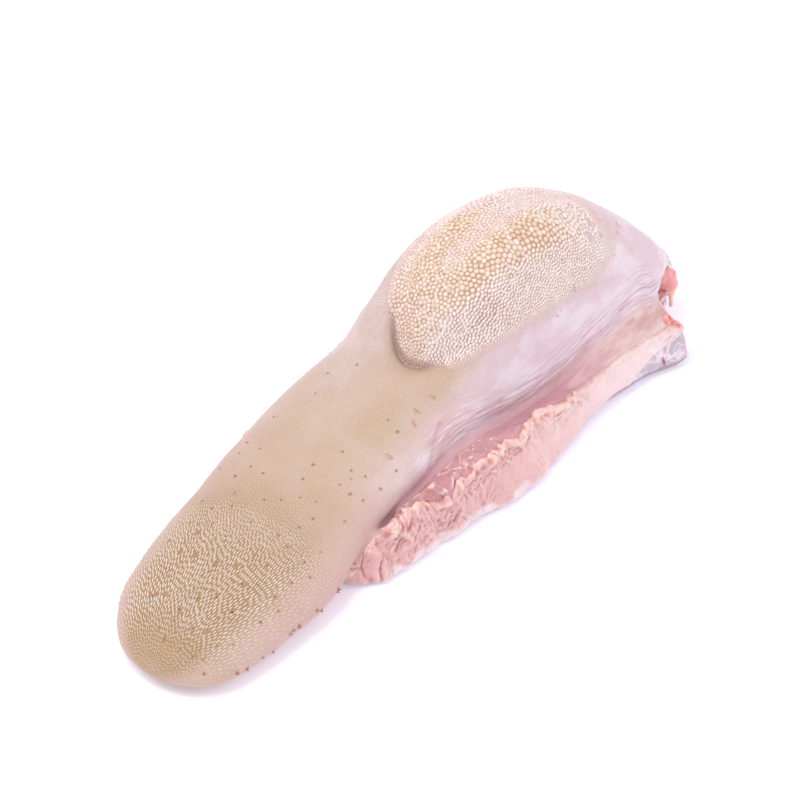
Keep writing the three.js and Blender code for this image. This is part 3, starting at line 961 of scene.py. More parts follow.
    def _crumple(self, x: Array, past: Array, arc: Array) -> tuple[Array, Array]:
        """Height of the folds and how far the crest leans over the gutter.

        Args:
            x: the grid's places along the tongue.
            past: millimetres outside the crest.
            arc: millimetres from the furrow.

        Returns:
            The height and the lean, both in millimetres.
        """
        shape = x.shape
        flat_x, flat_past = x.ravel(), past.ravel()
        key = np.full(flat_x.shape, 13.0 * self.seed)

        def sheet(points: Array, sizes: Triple, seed: int) -> Array:
            """Thin ridges on the grid."""
            return thin_ridges(points, sizes, seed).reshape(shape)

        plain = np.column_stack([flat_x, flat_past, key])
        warp_a = 4.5 * stretched_noise(plain, (11, 9, 9), 81)
        warp_b = 4.5 * stretched_noise(plain, (9, 9, 9), 82)
        lean_in = np.column_stack([0.45 * flat_past - 0.9 * flat_x + warp_a,
                                   0.9 * flat_past + 0.45 * flat_x + warp_b, key])
        lean_out = np.column_stack([flat_x - 0.6 * flat_past - warp_b,
                                    flat_past + 0.6 * flat_x + warp_a, key])
        main = sheet(lean_in, (10, 4.2, 9), 83)
        cross = sheet(lean_out, (4.6, 8, 9), 84)
        fine = sheet(lean_in + [2, 1, 0], (4, 1.9, 9), 85)
        tiny = sheet(lean_out, (1.4, 2.4, 9), 86)
        where = smoothstep(-0.35, 0.35, stretched_noise(plain, (14, 8, 9), 87).reshape(shape))
        line = np.column_stack([flat_x, key, key])
        frill = 1 + 0.8 * stretched_noise(line, (6, 9, 9), 88) + 1.1 * stretched_noise(line, (2.2, 9, 9), 89)
        frill = np.clip(frill, 0.1, 2.6).reshape(shape)
        crest = np.where(past < 0, np.exp(-((past / 0.7) ** 2)), np.exp(-past / 2.6))
        outer = smoothstep(-0.5, 1.5, past)
        calm = 1 - (0.3 + 0.45 * smoothstep(-25, 10, x)) * smoothstep(4, 14, past)
        slack = self.slack.at(x)
        crisp = 0.5 + 0.45 * (1 - smoothstep(-40, -15, x))
        pad = (0.35 + where) * 1.3 * main + (1.2 - where) * 0.9 * cross + crisp * fine + 0.25 * tiny
        pad = outer * calm * pad
        quiet = 0.25 + 0.3 * smoothstep(-45, -20, x)
        veins = (1 - outer) * (1 - smoothstep(-20, 40, x)) * 1.3 * np.clip(main + cross - quiet, 0, 1)
        bunch_x = np.column_stack([flat_x + 0.25 * flat_past + 0.5 * warp_a, flat_past, key])
        bunch = np.abs(stretched_noise(bunch_x, (3.3, 30, 9), 90)).reshape(shape) ** 0.6
        front = 1 - smoothstep(-70, -60, x)
        height = slack * (1.0 * frill * crest + pad + veins) * (1 - 0.75 * front) + front * 2.8 * bunch
        lean = slack * 0.7 * frill * np.exp(-((past / 1.1) ** 2)) * (1 - front)
        return height, lean

    def _mesh(self, placed: Array) -> bpy.types.Object:
        """Joins the grid of drawn points into a mesh that faces outwards."""
        rows, columns = placed.shape[:2]
        ids = np.arange(rows * columns).reshape(rows, columns)
        quads = np.stack([ids[:-1, :-1], ids[1:, :-1], ids[1:, 1:], ids[:-1, 1:]], axis=2).reshape(-1, 4)
        if self.side < 0:
            quads = quads[:, ::-1]
        return new_piece(self.name, placed.reshape(-1, 3) + DRAWN_ORIGIN, quads.tolist())


# ------------------------------------------------------------------ papillae and marks


class Kind(Enum):
    """The small shapes that are modelled once and copied."""

    COBBLE = "cobble"
    GRAIN = "grain"
    SPECK = "speck"
    BUTTON = "button"
    RING = "ring"


SPHERE_CUTS = {Kind.COBBLE: (9, 6), Kind.GRAIN: (6, 4), Kind.SPECK: (6, 2), Kind.BUTTON: (9, 6)}


@dataclass(frozen=True)
class Stamp:
    """One small shape of unit size on the XY plane, to be copied over the skin."""

    points: Array
    faces: list[tuple[int, ...]]
    rise: Array

    @staticmethod
    def model(kind: Kind) -> "Stamp":
        """Models a shape from a primitive; a sphere loses the half that would be under the skin."""
        activate_none()
        if kind is Kind.RING:
            bpy.ops.mesh.primitive_torus_add(major_segments=14, minor_segments=6, major_radius=0.84,
                                             minor_radius=0.16)
        else:
            segments, rings = SPHERE_CUTS[kind]
            bpy.ops.mesh.primitive_uv_sphere_add(segments=segments, ring_count=rings, radius=1)
            bpy.ops.object.mode_set(mode="EDIT")
            bpy.ops.mesh.select_all(action="DESELECT")
            bpy.ops.object.mode_set(mode="OBJECT")
            for vertex in bpy.context.object.data.vertices:
                vertex.select = vertex.co.z < -0.01
            bpy.ops.object.mode_set(mode="EDIT")
            bpy.ops.mesh.delete(type="VERT")
            bpy.ops.object.mode_set(mode="OBJECT")
        obj = bpy.context.object
        mesh = obj.data
        points = read_points(mesh) * MM
        faces = [tuple(f.vertices) for f in mesh.polygons]
        bpy.data.objects.remove(obj)
        bpy.data.meshes.remove(mesh)
        rise = np.clip((points[:, 2] - points[:, 2].min()) / np.ptp(points[:, 2]), 0, 1)
        return Stamp(points, faces, rise)


@dataclass
class Copies:
    """Where the copies of a shape stand, how they lie, how large they are and how they are toned."""

    places: Array
    normals: Array
    heads: Array
    sizes: Array
    tone: Array
    blush: Array

    def pick(self, chosen: Array) -> "Copies":
        """Only the copies that a mask chooses."""
        return Copies(*(getattr(self, part.name)[chosen] for part in fields(self)))

    def join(self, name: str, stamp: Stamp) -> bpy.types.Object:
        """Joins one copy of the stamp at every place into a single mesh.

        Args:
            name: the piece's name.
            stamp: the shape.

        Returns:
            The new object.
        """
        count, size = len(self.places), len(stamp.points)
        side = np.cross(self.normals, self.heads)
        side /= np.linalg.norm(side, axis=1, keepdims=True) + 1e-9
        head = np.cross(side, self.normals)
        points = np.repeat(self.places[:, None, :], size, axis=1)
        for axis, vectors in enumerate((head, side, self.normals)):
            reach = stamp.points[None, :, axis] * self.sizes[:, axis : axis + 1]
            points = points + reach[:, :, None] * vectors[:, None, :]
        faces = [tuple(v + i * size for v in face) for i in range(count) for face in stamp.faces]
        obj = new_piece(name, points.reshape(-1, 3), faces)
        write_attribute(obj.data, "rise", np.tile(stamp.rise, count))
        write_attribute(obj.data, "tone", np.repeat(self.tone, size))
        write_attribute(obj.data, "blush", np.repeat(self.blush, size))
        return obj


def relax(points: Array, pitch: Array, surface: Surface, rounds: int) -> Array:
    """Pushes places apart until they are spread evenly.

    Args:
        points: the places.
        pitch: the wanted distance to the neighbours, one for each place.
        surface: what they stay on.
        rounds: how often they are moved.

    Returns:
        The new places.
    """
    for turn in range(rounds):
        spread = 1.4 - 0.34 * turn / rounds
        near = neighbours(points, 7)
        away = points[:, None, :] - points[near]
        gap = np.linalg.norm(away, axis=2) + 1e-6
        wanted = (pitch[:, None] + pitch[near]) / 2 * spread
        push = np.maximum(wanted - gap, 0) / gap
        points = points + 0.24 * (away * push[:, :, None]).sum(axis=1)
        points = surface.settle(points)[0]
    return points


@dataclass
class HumpPapillae:
    """The round papillae that cobble the hump, large in two bands and small around them."""

    near_band: Curve = Curve(((14, -2), (36, -8.5), (55, -12), (75, -13.7), (100, -14.5), (135, -15)))
    middle_pitch: float = 3.1
    front_pitch: float = 2.5
    small_pitch: float = 1.85
    edge_pitch: float = 1.35
    grain_pitch: float = 2.05
    rounds: int = 20
    clearing: float = 2.7
    seed: int = 5

    def pitch(self, p: Array) -> Array:
        """The distance between neighbours at drawn points."""
        x, y, _ = p.T
        large = self.front_pitch + (self.middle_pitch - self.front_pitch) * smoothstep(28, 60, x)
        large -= 0.6 * smoothstep(104, 130, x)
        bend = 1.5 * stretched_noise(p, (16, 12, 12), 51)
        near = np.exp(-((np.abs(y - self.near_band.at(x) + bend) / 8.6) ** 4))
        far = np.exp(-((np.abs(y - 19 + bend) / 9) ** 4)) * (1 - 0.3 * smoothstep(80, 105, x))
        front = (1 - smoothstep(30, 46, x)) * np.exp(-((np.abs(y - 3) / 13) ** 4)) * smoothstep(14, 24, x)
        share = np.clip(np.maximum(np.maximum(near, far), front), 0, 1) * (1 - 0.75 * smoothstep(122, 136, x))
        share *= smoothstep(8, 18, x)
        valley = np.exp(-(((y - 3.5) / 6) ** 2)) * smoothstep(34, 48, x)
        inside = smoothstep(0.15, 0.75, cobble_share(p))
        small = 0.4 * valley + self.edge_pitch + (self.small_pitch - self.edge_pitch) * inside
        return small + (large - small) * share

    def build(self, surface: Surface, clear: Array) -> tuple[bpy.types.Object, bpy.types.Object]:
        """Sets the large and the small papillae on the skin, free of the places in clear."""
        random = np.random.default_rng(self.seed)

        def density(p: Array) -> Array:
            """Papillae in a square millimetre."""
            return 1.2 / self.pitch(p) ** 2 * (cobble_share(p) > 0.1)

        points = surface.sample(density, random)
        points = relax(points, self.pitch(points - DRAWN_ORIGIN), surface, self.rounds)
        gaps = np.linalg.norm(points[:, None, :2] - clear[None, :, :2], axis=2).min(axis=1)
        points, normals = surface.settle(points[gaps > self.clearing])
        drawn = points - DRAWN_ORIGIN
        x, y, _ = drawn.T
        pitch, share = self.pitch(drawn), smoothstep(0.08, 0.6, cobble_share(drawn))
        small = 1 - smoothstep(2.0, 2.6, pitch)
        near_low = smoothstep(1, -10, y - self.near_band.at(x) + 1.5 * stretched_noise(drawn, (7, 7, 7), 53))
        near_low *= 0.3 + 0.7 * small
        valley = small * np.exp(-(((y - 3.5) / 7) ** 4)) * smoothstep(34, 44, x)
        uneven = random.normal(1, 0.1, (len(points), 3))
        sizes = (pitch * (0.585 - 0.03 * near_low))[:, None] * np.array([1.0, 1.0, 0.48]) * uneven
        sizes[:, 0] *= 1 + 0.4 * near_low
        sizes[:, 1] *= 1 - 0.14 * near_low
        sizes[:, 2] *= (0.2 + 0.8 * share) * (1 - 0.3 * valley) * (1 + 0.2 * near_low)
        sizes *= random.normal(1, 0.07, (len(points), 1))
        heads = np.tile([1.0, 0.4, 0.35], (len(points), 1)) + random.normal(0, 0.15, (len(points), 3))
        blush = 0.7 * valley + smoothstep(74, 108, x + 0.9 * y) + 0.8 * smoothstep(20, 30, y)
        blush += 0.75 * near_low
        blush += 0.4 * (1 - smoothstep(18, 40, x)) + 0.6 * smoothstep(60, 90, x) * smoothstep(-7, 3, y)
        blush = np.clip(blush + 0.8 * (1 - share), 0, 1)
        tone = random.normal(0.82, 0.12, len(points)) - 0.12 * valley + 0.2 * near_low
        tone = np.clip(tone, 0, 1) * (0.15 + 0.85 * share)
        copies = Copies(points - normals * 0.08, normals, heads, sizes, tone, blush)
        large = pitch > self.grain_pitch
        return (copies.pick(large).join("hump_cobbles", Stamp.model(Kind.COBBLE)),
                copies.pick(~large).join("hump_grains", Stamp.model(Kind.GRAIN)))


@dataclass
class BladePapillae:
    """The low slanting papillae of the blade, long dashes that fan out from before the tip."""

    focus: tuple[float, float] = (-212, -22)
    along: Curve = Curve(((20, 1.5), (34, 2.0), (54, 3.6), (84, 3.6), (112, 2.6), (140, 2.0),
                          (190, 1.7), (290, 1.5)))
    beside: Curve = Curve(((20, 0.9), (34, 1.02), (54, 1.32), (84, 1.32), (112, 1.18), (140, 1.08),
                           (190, 1.0), (290, 0.95)))
    rounds: int = 13
    tip_reach: float = 112
    height: float = 0.38
    clearing: float = 1.15
    seed: int = 9

    def _grid(self, random: np.random.Generator) -> Array:
        """Rough rows of places over the blade, seen from above and in drawn coordinates."""
        rows = []
        radius = 20.0
        while radius < 285:
            step, beside = (float(c.at(np.array([radius]))[0]) for c in (self.along, self.beside))
            reach = math.radians(80)
            angles = np.arange(-reach, reach, beside / radius) + random.random() * beside / radius
            spots = np.column_stack([radius * np.cos(angles), radius * np.sin(angles)]) + self.focus
            rows.append(spots + random.normal(0, 0.2, spots.shape) * step)
            radius += 0.84 * step
        xy = np.vstack(rows)
        flat = np.column_stack([xy, np.zeros(len(xy))])
        keep = (np.abs(ANATOMY.across(flat)) < 1.0) & (xy[:, 0] > ANATOMY.tip_x + 0.8) & (xy[:, 0] < 70)
        return xy[keep]

    def _lie(self, xy: Array) -> tuple[Array, Array, Array, Array]:
        """Direction, pitch along, pitch beside and distance from the focus at each place."""
        off = np.hypot(xy[:, 0] - self.focus[0], xy[:, 1] - self.focus[1])
        level = np.column_stack([xy, xy[:, :1] * 0])
        swirl = 0.16 * stretched_noise(level, (24, 18, 9), 61)
        angle = 0.87 * np.arctan2(xy[:, 1] - self.focus[1], xy[:, 0] - self.focus[0]) + 0.08 + swirl
        heads = np.column_stack([np.cos(angle), np.sin(angle)])
        return heads, self.along.at(off), self.beside.at(off), off

    def _spread(self, xy: Array) -> Array:
        """Pushes the places apart in a measure that is long along the papillae and short beside them."""
        for turn in range(self.rounds):
            heads, along, beside, _ = self._lie(xy)
            sides = np.column_stack([-heads[:, 1], heads[:, 0]])
            near = neighbours(np.column_stack([xy, 0 * xy[:, 0]]), 10)
            away = xy[:, None, :] - xy[near]
            ahead = (away * heads[:, None, :]).sum(axis=2) / along[:, None]
            abreast = (away * sides[:, None, :]).sum(axis=2) / beside[:, None]
            gap = np.hypot(ahead, abreast) + 1e-6
            push = 0.22 * np.maximum(1.3 - 0.25 * turn / self.rounds - gap, 0) / gap
            moved = (ahead * push).sum(axis=1) * along, (abreast * push).sum(axis=1) * beside
            xy = xy + heads * moved[0][:, None] + sides * moved[1][:, None]
        return xy

    def build(self, surface: Surface, clear: Array) -> tuple[bpy.types.Object, bpy.types.Object]:
        """Sets the papillae on the skin.

        Args:
            surface: the finished skin.
            clear: places that are kept free, for the buttons.

        Returns:
            The strong ones of the tip and the fine ones behind them.
        """
        random = np.random.default_rng(self.seed)
        points, normals, _ = surface.drop(self._spread(self._grid(random)) + DRAWN_ORIGIN[:2])
        drawn = points - DRAWN_ORIGIN
        share = tan_share(drawn, 4 * stretched_noise(drawn, (8, 8, 8), 63))
        buttons = kd_tree(clear)
        keep = (share + random.random(len(share)) > 0.25) & (share > 0.06) & (normals[:, 2] > 0.1)
        keep &= (cobble_share(drawn) < 0.3) & (np.array([buttons.find(p)[2] for p in points]) > self.clearing)
        points, normals, drawn, share = (a[keep] for a in (points, normals, drawn, share))
        heads, along, beside, off = self._lie(drawn[:, :2])
        heads = np.column_stack([heads, 0 * off]) + random.normal(0, 0.05, (len(off), 3))
        strong = (0.25 + 0.75 * smoothstep(30, 52, off)) * (1 - smoothstep(84, 150, off))
        edge = smoothstep(0.68, 0.96, np.abs(ANATOMY.across(drawn)))
        uneven = random.normal(1, 0.1, (len(points), 3))
        sizes = np.column_stack([along * 0.48, beside * 0.33, self.height * (0.55 + 0.7 * strong)]) * uneven
        sizes[:, 2] *= (0.3 + 0.7 * share) * (1 - 0.35 * edge)
        faint = smoothstep(112, 140, off) * (1 - smoothstep(0.3, 0.8, share))
        tone = np.clip((0.5 + 0.45 * strong) * (1 - 0.2 * edge) * (1 - 0.6 * faint), 0, 1)
        blush = np.clip(1.2 * (1 - share) + 0.85 * edge, 0, 1)
        tilt = normals - heads * 0.12
        tilt /= np.linalg.norm(tilt, axis=1, keepdims=True)
        copies = Copies(points - normals * 0.04, tilt, heads, sizes, tone, blush)
        tip = off < self.tip_reach
        return (copies.pick(tip).join("tip_papillae", Stamp.model(Kind.GRAIN)),
                copies.pick(~tip).join("blade_papillae", Stamp.model(Kind.SPECK)))


@dataclass
class TasteButtons:
    """Reddish-brown buttons in pale rims over the blade, some standing out of its near edge."""

    count: int = 72
    edge_count: int = 13
    apart: float = 7.5
    radius: float = 0.72
    dark: tuple[Triple, ...] = (
        (-151.7, -34.7, 1.0), (-181.7, -16.7, 0.6), (-156.7, -15.7, 0.6), (-150.7, -22.7, 0.75),
    )
    seed: int = 21
    places: Array = field(init=False)

    def _scatter(self, random: np.random.Generator) -> tuple[Array, Array]:
        """Draws places along and across the blade that keep apart from each other."""
        xs, shares, kept = [], [], []
        for x, y, _ in self.dark:
            kept.append((x, y - float(ANATOMY.midline.at(np.array(x)))))
        while len(xs) < self.count:
            x, share = random.uniform(-184, -6), random.uniform(-0.95, 0.93)
            chance = (1.0 if share < -0.25 else 0.6) * (1 - 0.8 * float(smoothstep(-100, -40, np.array(x))))
            place = (x, share * 45)
            if random.random() < chance and all(math.dist(place, k) > self.apart for k in kept):
                xs.append(x)
                shares.append(share)
                kept.append(place)
        edge = np.linspace(-166, -84, self.edge_count) + random.normal(0, 2.5, self.edge_count)
        return np.append(xs, edge), np.append(shares, np.full(self.edge_count, -1.03))

    def build(self, surface: Surface) -> tuple[bpy.types.Object, bpy.types.Object]:
        """Sets the buttons and their rims on the skin."""
        random = np.random.default_rng(self.seed)
        x, across = self._scatter(random)
        dark_x, dark_y, dark_size = np.array(self.dark).T
        y = np.append(ANATOMY.midline.at(x) + across * ANATOMY.width(x), dark_y)
        x, across = np.append(x, dark_x), np.append(across, 0 * dark_x)
        raised = (across < -1).astype(float)
        edge = ANATOMY.edge.at(x) + random.uniform(-3, 2.5, len(x))
        z = np.where(raised > 0, edge, ANATOMY.back.at(x) + 8 - 12 * np.abs(across) ** 4)
        points, normals = surface.settle(np.column_stack([x, y, z]) + DRAWN_ORIGIN)
        size = self.radius * random.uniform(0.75, 1.25, len(x)) * (1 + 0.12 * (np.abs(across) < 0.7))
        heads = random.normal(0, 1, (len(x), 3))
        back = smoothstep(-115, -75, x) * (1 - raised)
        tone = np.clip(random.uniform(0.35, 1.0, len(x)) * (1 - 0.7 * back), 0, 1)
        size *= 1 - 0.2 * back
        blush = np.zeros(len(x))
        blush[-len(self.dark):], size[-len(self.dark):] = 1.25, self.radius * dark_size
        height = 0.5 + 0.5 * raised
        core = np.column_stack([size * 0.8, size * 0.66, size * height])
        rim = np.column_stack([size * 1.45, size * 1.3, size * 0.9])
        none = np.zeros(len(x))
        self.places = points
        lift = (0.12 + 0.2 * raised)[:, None] * normals
        cores = Copies(points + lift, normals, heads, core, tone, blush)
        rims = Copies(points + 0.3 * lift, normals, heads, rim, 0.4 + 0.4 * tone, none)
        return (cores.join("taste_buttons", Stamp.model(Kind.BUTTON)),
                rims.join("taste_button_rims", Stamp.model(Kind.RING)))


@dataclass
class SkinMarks:
    """Dry scratches on the blade's near side and small rust-coloured spots on the hump and flank."""

    scratches: tuple[tuple[float, float, float, float], ...] = (
        (-1, -21, 51, 4.6), (-12, -21, 49, 5.0), (-18, -24, 47, 4.2), (-38, -26, 41, 4.6), (92, -34, 70, 5.0),
        (-92, -19, 32, 1.6),
    )
    spots: tuple[Triple, ...] = (
        (55, -24, 82), (39, -26, 71), (76, -36, 63), (104, -23, 86), (48, -5, 95), (15, -14, 58),
        (122, -40, 43), (107, -40, 38), (128, -45, 29), (21, 24, 66), (-59, -21, 37), (100, -27, 80),
    )
    seed: int = 41

    def build(self, surface: Surface) -> bpy.types.Object:
        """Sets each scratch as a few thin shards side by side, and each spot as one low dot."""
        random = np.random.default_rng(self.seed)
        places, heads, sizes, blush, lifts = [], [], [], [], []
        for x, y, z, length in self.scratches:
            for k in range(4):
                shift = random.normal(0, 1, 3) * [1.3, 1.0, 0] * (k > 0)
                places.append(np.array([x, y, z]) + shift)
                heads.append(np.array([0.05, -1, -0.2]) + random.normal(0, 0.11, 3))
                share = (0.5, 0.3, 0.22, 0.14)[k]
                sizes.append([length * share, 0.46 - 0.06 * k, 0.1])
                blush.append(0.8 if x > 50 else 0.0)
                lifts.append(0.16)
        for spot in self.spots:
            places.append(np.array(spot, float))
            heads.append(random.normal(0, 1, 3))
            sizes.append([random.uniform(0.45, 0.8), random.uniform(0.35, 0.5), 0.2])
            blush.append(random.uniform(0, 0.4))
            lifts.append(0.5)
        points, normals = surface.settle(np.array(places))
        tone = random.uniform(0.3, 0.9, len(points))
        raised = points + normals * np.array(lifts)[:, None]
        marks = Copies(raised, normals, np.array(heads), np.array(sizes), tone, np.array(blush))
        return marks.join("skin_marks", Stamp.model(Kind.BUTTON))


@dataclass
class RingPapillae:
    """Papillae with a moat and a raised ring, in a loose row on each side behind the hump."""

    places: tuple[Triple, ...] = (
        (134, -17, 82), (125, -24, 80), (116, -24, 83), (145, -20, 74), (123, -18, 85), (139, -24, 74),
    )
    radius: float = 2.3
    seed: int = 31

    def spots(self) -> Array:
        """Where the rings stand on both sides, in packed coordinates."""
        near = np.array(self.places, float)
        shift = np.random.default_rng(self.seed).normal(0, 2.2, near.shape)
        return np.vstack([near, near * [1, -1, 1] + [0, 7, 0] + shift])

    def build(self, surface: Surface) -> tuple[bpy.types.Object, bpy.types.Object]:
        """Sets the rings and the buttons inside them on the skin."""
        random = np.random.default_rng(self.seed)
        points, normals = surface.settle(self.spots())
        heads = random.normal(0, 1, points.shape)
        count = len(points)
        size = self.radius * random.uniform(0.75, 1.1, count)
        flat = np.full(count, 0.5)
        rings = Copies(points, normals, heads, np.column_stack([size, size * 0.92, size * 0.9]), flat, flat)
        inner = np.column_stack([size * 0.5, size * 0.48, size * 0.28])
        buttons = Copies(points - normals * 0.05, normals, heads, inner, flat, flat)
        return (rings.join("papilla_rings", Stamp.model(Kind.RING)),
                buttons.join("papilla_buttons", Stamp.model(Kind.COBBLE)))


# ------------------------------------------------------------------ materials


@dataclass(frozen=True)
class Graph:
    """Short ways to add and join the nodes of one tree."""

    tree: bpy.types.NodeTree

    def node(self, kind: str, **settings: object) -> bpy.types.Node:
        """Adds a node; settings that name an input fill it or join it, the others are set."""
        node = self.tree.nodes.new(kind)
        for name, value in settings.items():
            if hasattr(node, name) and name not in ("inputs", "outputs"):
                setattr(node, name, value)
            else:
                self.feed(node.inputs[name.replace("_", " ")], value)
        return node

    def feed(self, socket: bpy.types.NodeSocket, value: object) -> None:
        """Joins an output to a socket, or sets the socket's own value."""
        if isinstance(value, bpy.types.NodeSocket):
            self.tree.links.new(value, socket)
        else:
            socket.default_value = value

    def mix(self, share: object, below: object, above: object) -> bpy.types.NodeSocket:
        """Two colours mixed: below where share is 0, above where it is 1."""
        node = self.tree.nodes.new("ShaderNodeMix")
        node.data_type = "RGBA"
        self.feed(node.inputs["Factor"], share)
        self.feed(node.inputs[6], below)
        self.feed(node.inputs[7], above)
        return node.outputs[2]

    def math(self, operation: str, *values: object) -> bpy.types.NodeSocket:
        """A number worked out from others."""
        node = self.tree.nodes.new("ShaderNodeMath")
        node.operation = operation
        for socket, value in zip(node.inputs, values):
            self.feed(socket, value)
        return node.outputs[0]

    def ramp(self, value: object, low: object, high: float) -> bpy.types.NodeSocket:
        """0 below low, 1 above high and smooth between them."""
        node = self.tree.nodes.new("ShaderNodeMapRange")
        node.interpolation_type = "SMOOTHSTEP"
        self.feed(node.inputs["Value"], value)
        self.feed(node.inputs["From Min"], low)
        node.inputs["From Max"].default_value = high
        return node.outputs[0]

    def attribute(self, name: str) -> bpy.types.NodeSocket:
        """The number stored on the mesh under this name."""
        return self.node("ShaderNodeAttribute", attribute_name=name).outputs["Fac"]

    def coordinates(self, scale: Triple = (1, 1, 1)) -> bpy.types.NodeSocket:
        """Object coordinates in millimetres, stretched by scale."""
        source = self.node("ShaderNodeTexCoord").outputs["Object"]
        mapping = self.node("ShaderNodeMapping", vector_type="POINT")
        self.feed(mapping.inputs["Vector"], source)
        mapping.inputs["Scale"].default_value = tuple(1000 * s for s in scale)
        return mapping.outputs["Vector"]

    def axis(self, letter: str, scale: Triple = (1, 1, 1)) -> bpy.types.NodeSocket:
        """One of the object coordinates in millimetres."""
        return self.node("ShaderNodeSeparateXYZ", Vector=self.coordinates(scale)).outputs[letter]

    def noise(self, scale: float, detail: float = 2, stretch: Triple = (1, 1, 1),
              rough: float = 0.5) -> bpy.types.NodeSocket:
        """Noise from 0 to 1 with scale features per millimetre."""
        node = self.node("ShaderNodeTexNoise", Vector=self.coordinates(stretch), Scale=scale,
                         Detail=detail, Roughness=rough)
        return node.outputs["Fac"]


def empty_material(name: str) -> tuple[bpy.types.Material, Graph, bpy.types.Node]:
    """A node material with only its output and a Principled shader joined to it."""
    material = bpy.data.materials.new(name)
    material.use_nodes = True
    tree = material.node_tree
    tree.nodes.clear()
    graph = Graph(tree)
    shader = graph.node("ShaderNodeBsdfPrincipled")
    output = graph.node("ShaderNodeOutputMaterial")
    tree.links.new(shader.outputs[0], output.inputs["Surface"])
    return material, graph, shader


def finish_colour(graph: Graph, shader: bpy.types.Node, mottle: bpy.types.NodeTree,
                  colour: bpy.types.NodeSocket, strength: float) -> None:
    """Makes a colour uneven in tone and gives it to the shader.

    Args:
        graph: the material's nodes.
        shader: its Principled shader.
        mottle: the shared group for uneven tone.
        colour: the even colour.
        strength: how uneven it becomes.
    """
    toned = graph.node("ShaderNodeGroup", node_tree=mottle)
    graph.feed(toned.inputs["Color"], colour)
    toned.inputs["Strength"].default_value = strength
    graph.feed(shader.inputs["Base Color"], toned.outputs["Color"])


def finish_bump(graph: Graph, shader: bpy.types.Node, height: bpy.types.NodeSocket, strength: float,
                distance: float) -> None:
    """Gives the shader a bump of this height, with its distance in millimetres."""
    bump = graph.node("ShaderNodeBump", Strength=strength, Distance=distance * MM)
    graph.feed(bump.inputs["Height"], height)
    graph.feed(shader.inputs["Normal"], bump.outputs["Normal"])


def finish_depth(shader: bpy.types.Node, weight: float, reach: Triple) -> None:
    """Lets light into the flesh, as deep as reach in millimetres for red, green and blue."""
    shader.inputs["Subsurface Weight"].default_value = weight
    shader.inputs["Subsurface Radius"].default_value = tuple(r * MM for r in reach)
    shader.inputs["Subsurface Scale"].default_value = 1.0


def webbed(graph: Graph, ground: str, cord: str) -> bpy.types.NodeSocket:
    """A thin membrane with paler cords in it.

    Args:
        graph: the material's nodes.
        ground: the membrane's colour.
        cord: the cords' colour.

    Returns:
        The colour of both.
    """
    lines = graph.math("ABSOLUTE", graph.math("SUBTRACT", graph.noise(0.13, 1, (0.7, 1, 1)), 0.5))
    web = graph.math("SUBTRACT", 1.0, graph.ramp(lines, 0.0, 0.03))
    return graph.mix(graph.math("MULTIPLY", web, 0.55), hex_colour(ground), hex_colour(cord))


def mottle_group() -> bpy.types.NodeTree:
    """The uneven tone of living tissue, shared by every finish.

    Returns:
        A group that takes a colour, a strength and a size and gives the colour back mottled.
    """
    group = bpy.data.node_groups.new("tissue_mottle", "ShaderNodeTree")
    for name, kind, value in (("Color", "NodeSocketColor", None), ("Strength", "NodeSocketFloat", 0.5),
                              ("Scale", "NodeSocketFloat", 0.12)):
        socket = group.interface.new_socket(name, in_out="INPUT", socket_type=kind)
        if value is not None:
            socket.default_value = value
    group.interface.new_socket("Color", in_out="OUTPUT", socket_type="NodeSocketColor")
    graph = Graph(group)
    inlet, outlet = graph.node("NodeGroupInput"), graph.node("NodeGroupOutput")
    coords = graph.coordinates()
    broad = graph.node("ShaderNodeTexNoise", Vector=coords, Scale=inlet.outputs["Scale"], Detail=3.0)
    fine = graph.node("ShaderNodeTexNoise", Vector=coords, Scale=1.1, Detail=2.0)
    blend = graph.math("MULTIPLY_ADD", broad.outputs["Fac"], 0.7,
                       graph.math("MULTIPLY", fine.outputs["Fac"], 0.3))
    swing = graph.math("MULTIPLY", graph.math("SUBTRACT", blend, 0.5), inlet.outputs["Strength"])
    hue = graph.node("ShaderNodeHueSaturation", Color=inlet.outputs["Color"])
    graph.feed(hue.inputs["Value"], graph.math("ADD", swing, 1.0))
    graph.feed(hue.inputs["Saturation"], graph.math("MULTIPLY_ADD", swing, -1.2, 1.0))
    graph.feed(outlet.inputs["Color"], hue.outputs["Color"])
    return group


def tip_tint_group() -> bpy.types.NodeTree:
    """The colour of a small papilla from its foot to its top.

    Returns:
        A group that mixes a foot and a top colour by the mesh's own rise, with a sharpness.
    """
    group = bpy.data.node_groups.new("papilla_tint", "ShaderNodeTree")
    for name in ("Foot", "Top", "Blush", "Pale"):
        group.interface.new_socket(name, in_out="INPUT", socket_type="NodeSocketColor")
    for name, value in (("Start", 0.05), ("Cover", 0.4)):
        group.interface.new_socket(name, in_out="INPUT", socket_type="NodeSocketFloat").default_value = value
    group.interface.new_socket("Color", in_out="OUTPUT", socket_type="NodeSocketColor")
    graph = Graph(group)
    inlet, outlet = graph.node("NodeGroupInput"), graph.node("NodeGroupOutput")
    rise = graph.ramp(graph.attribute("rise"), inlet.outputs["Start"], 0.92)
    share = graph.math("MULTIPLY", rise, graph.attribute("tone"))
    blush = graph.attribute("blush")
    foot = graph.mix(blush, inlet.outputs["Foot"], inlet.outputs["Blush"])
    covered = graph.math("MULTIPLY", blush, inlet.outputs["Cover"])
    top = graph.mix(covered, inlet.outputs["Top"], inlet.outputs["Pale"])
    graph.feed(outlet.inputs["Color"], graph.mix(share, foot, top))
    return group


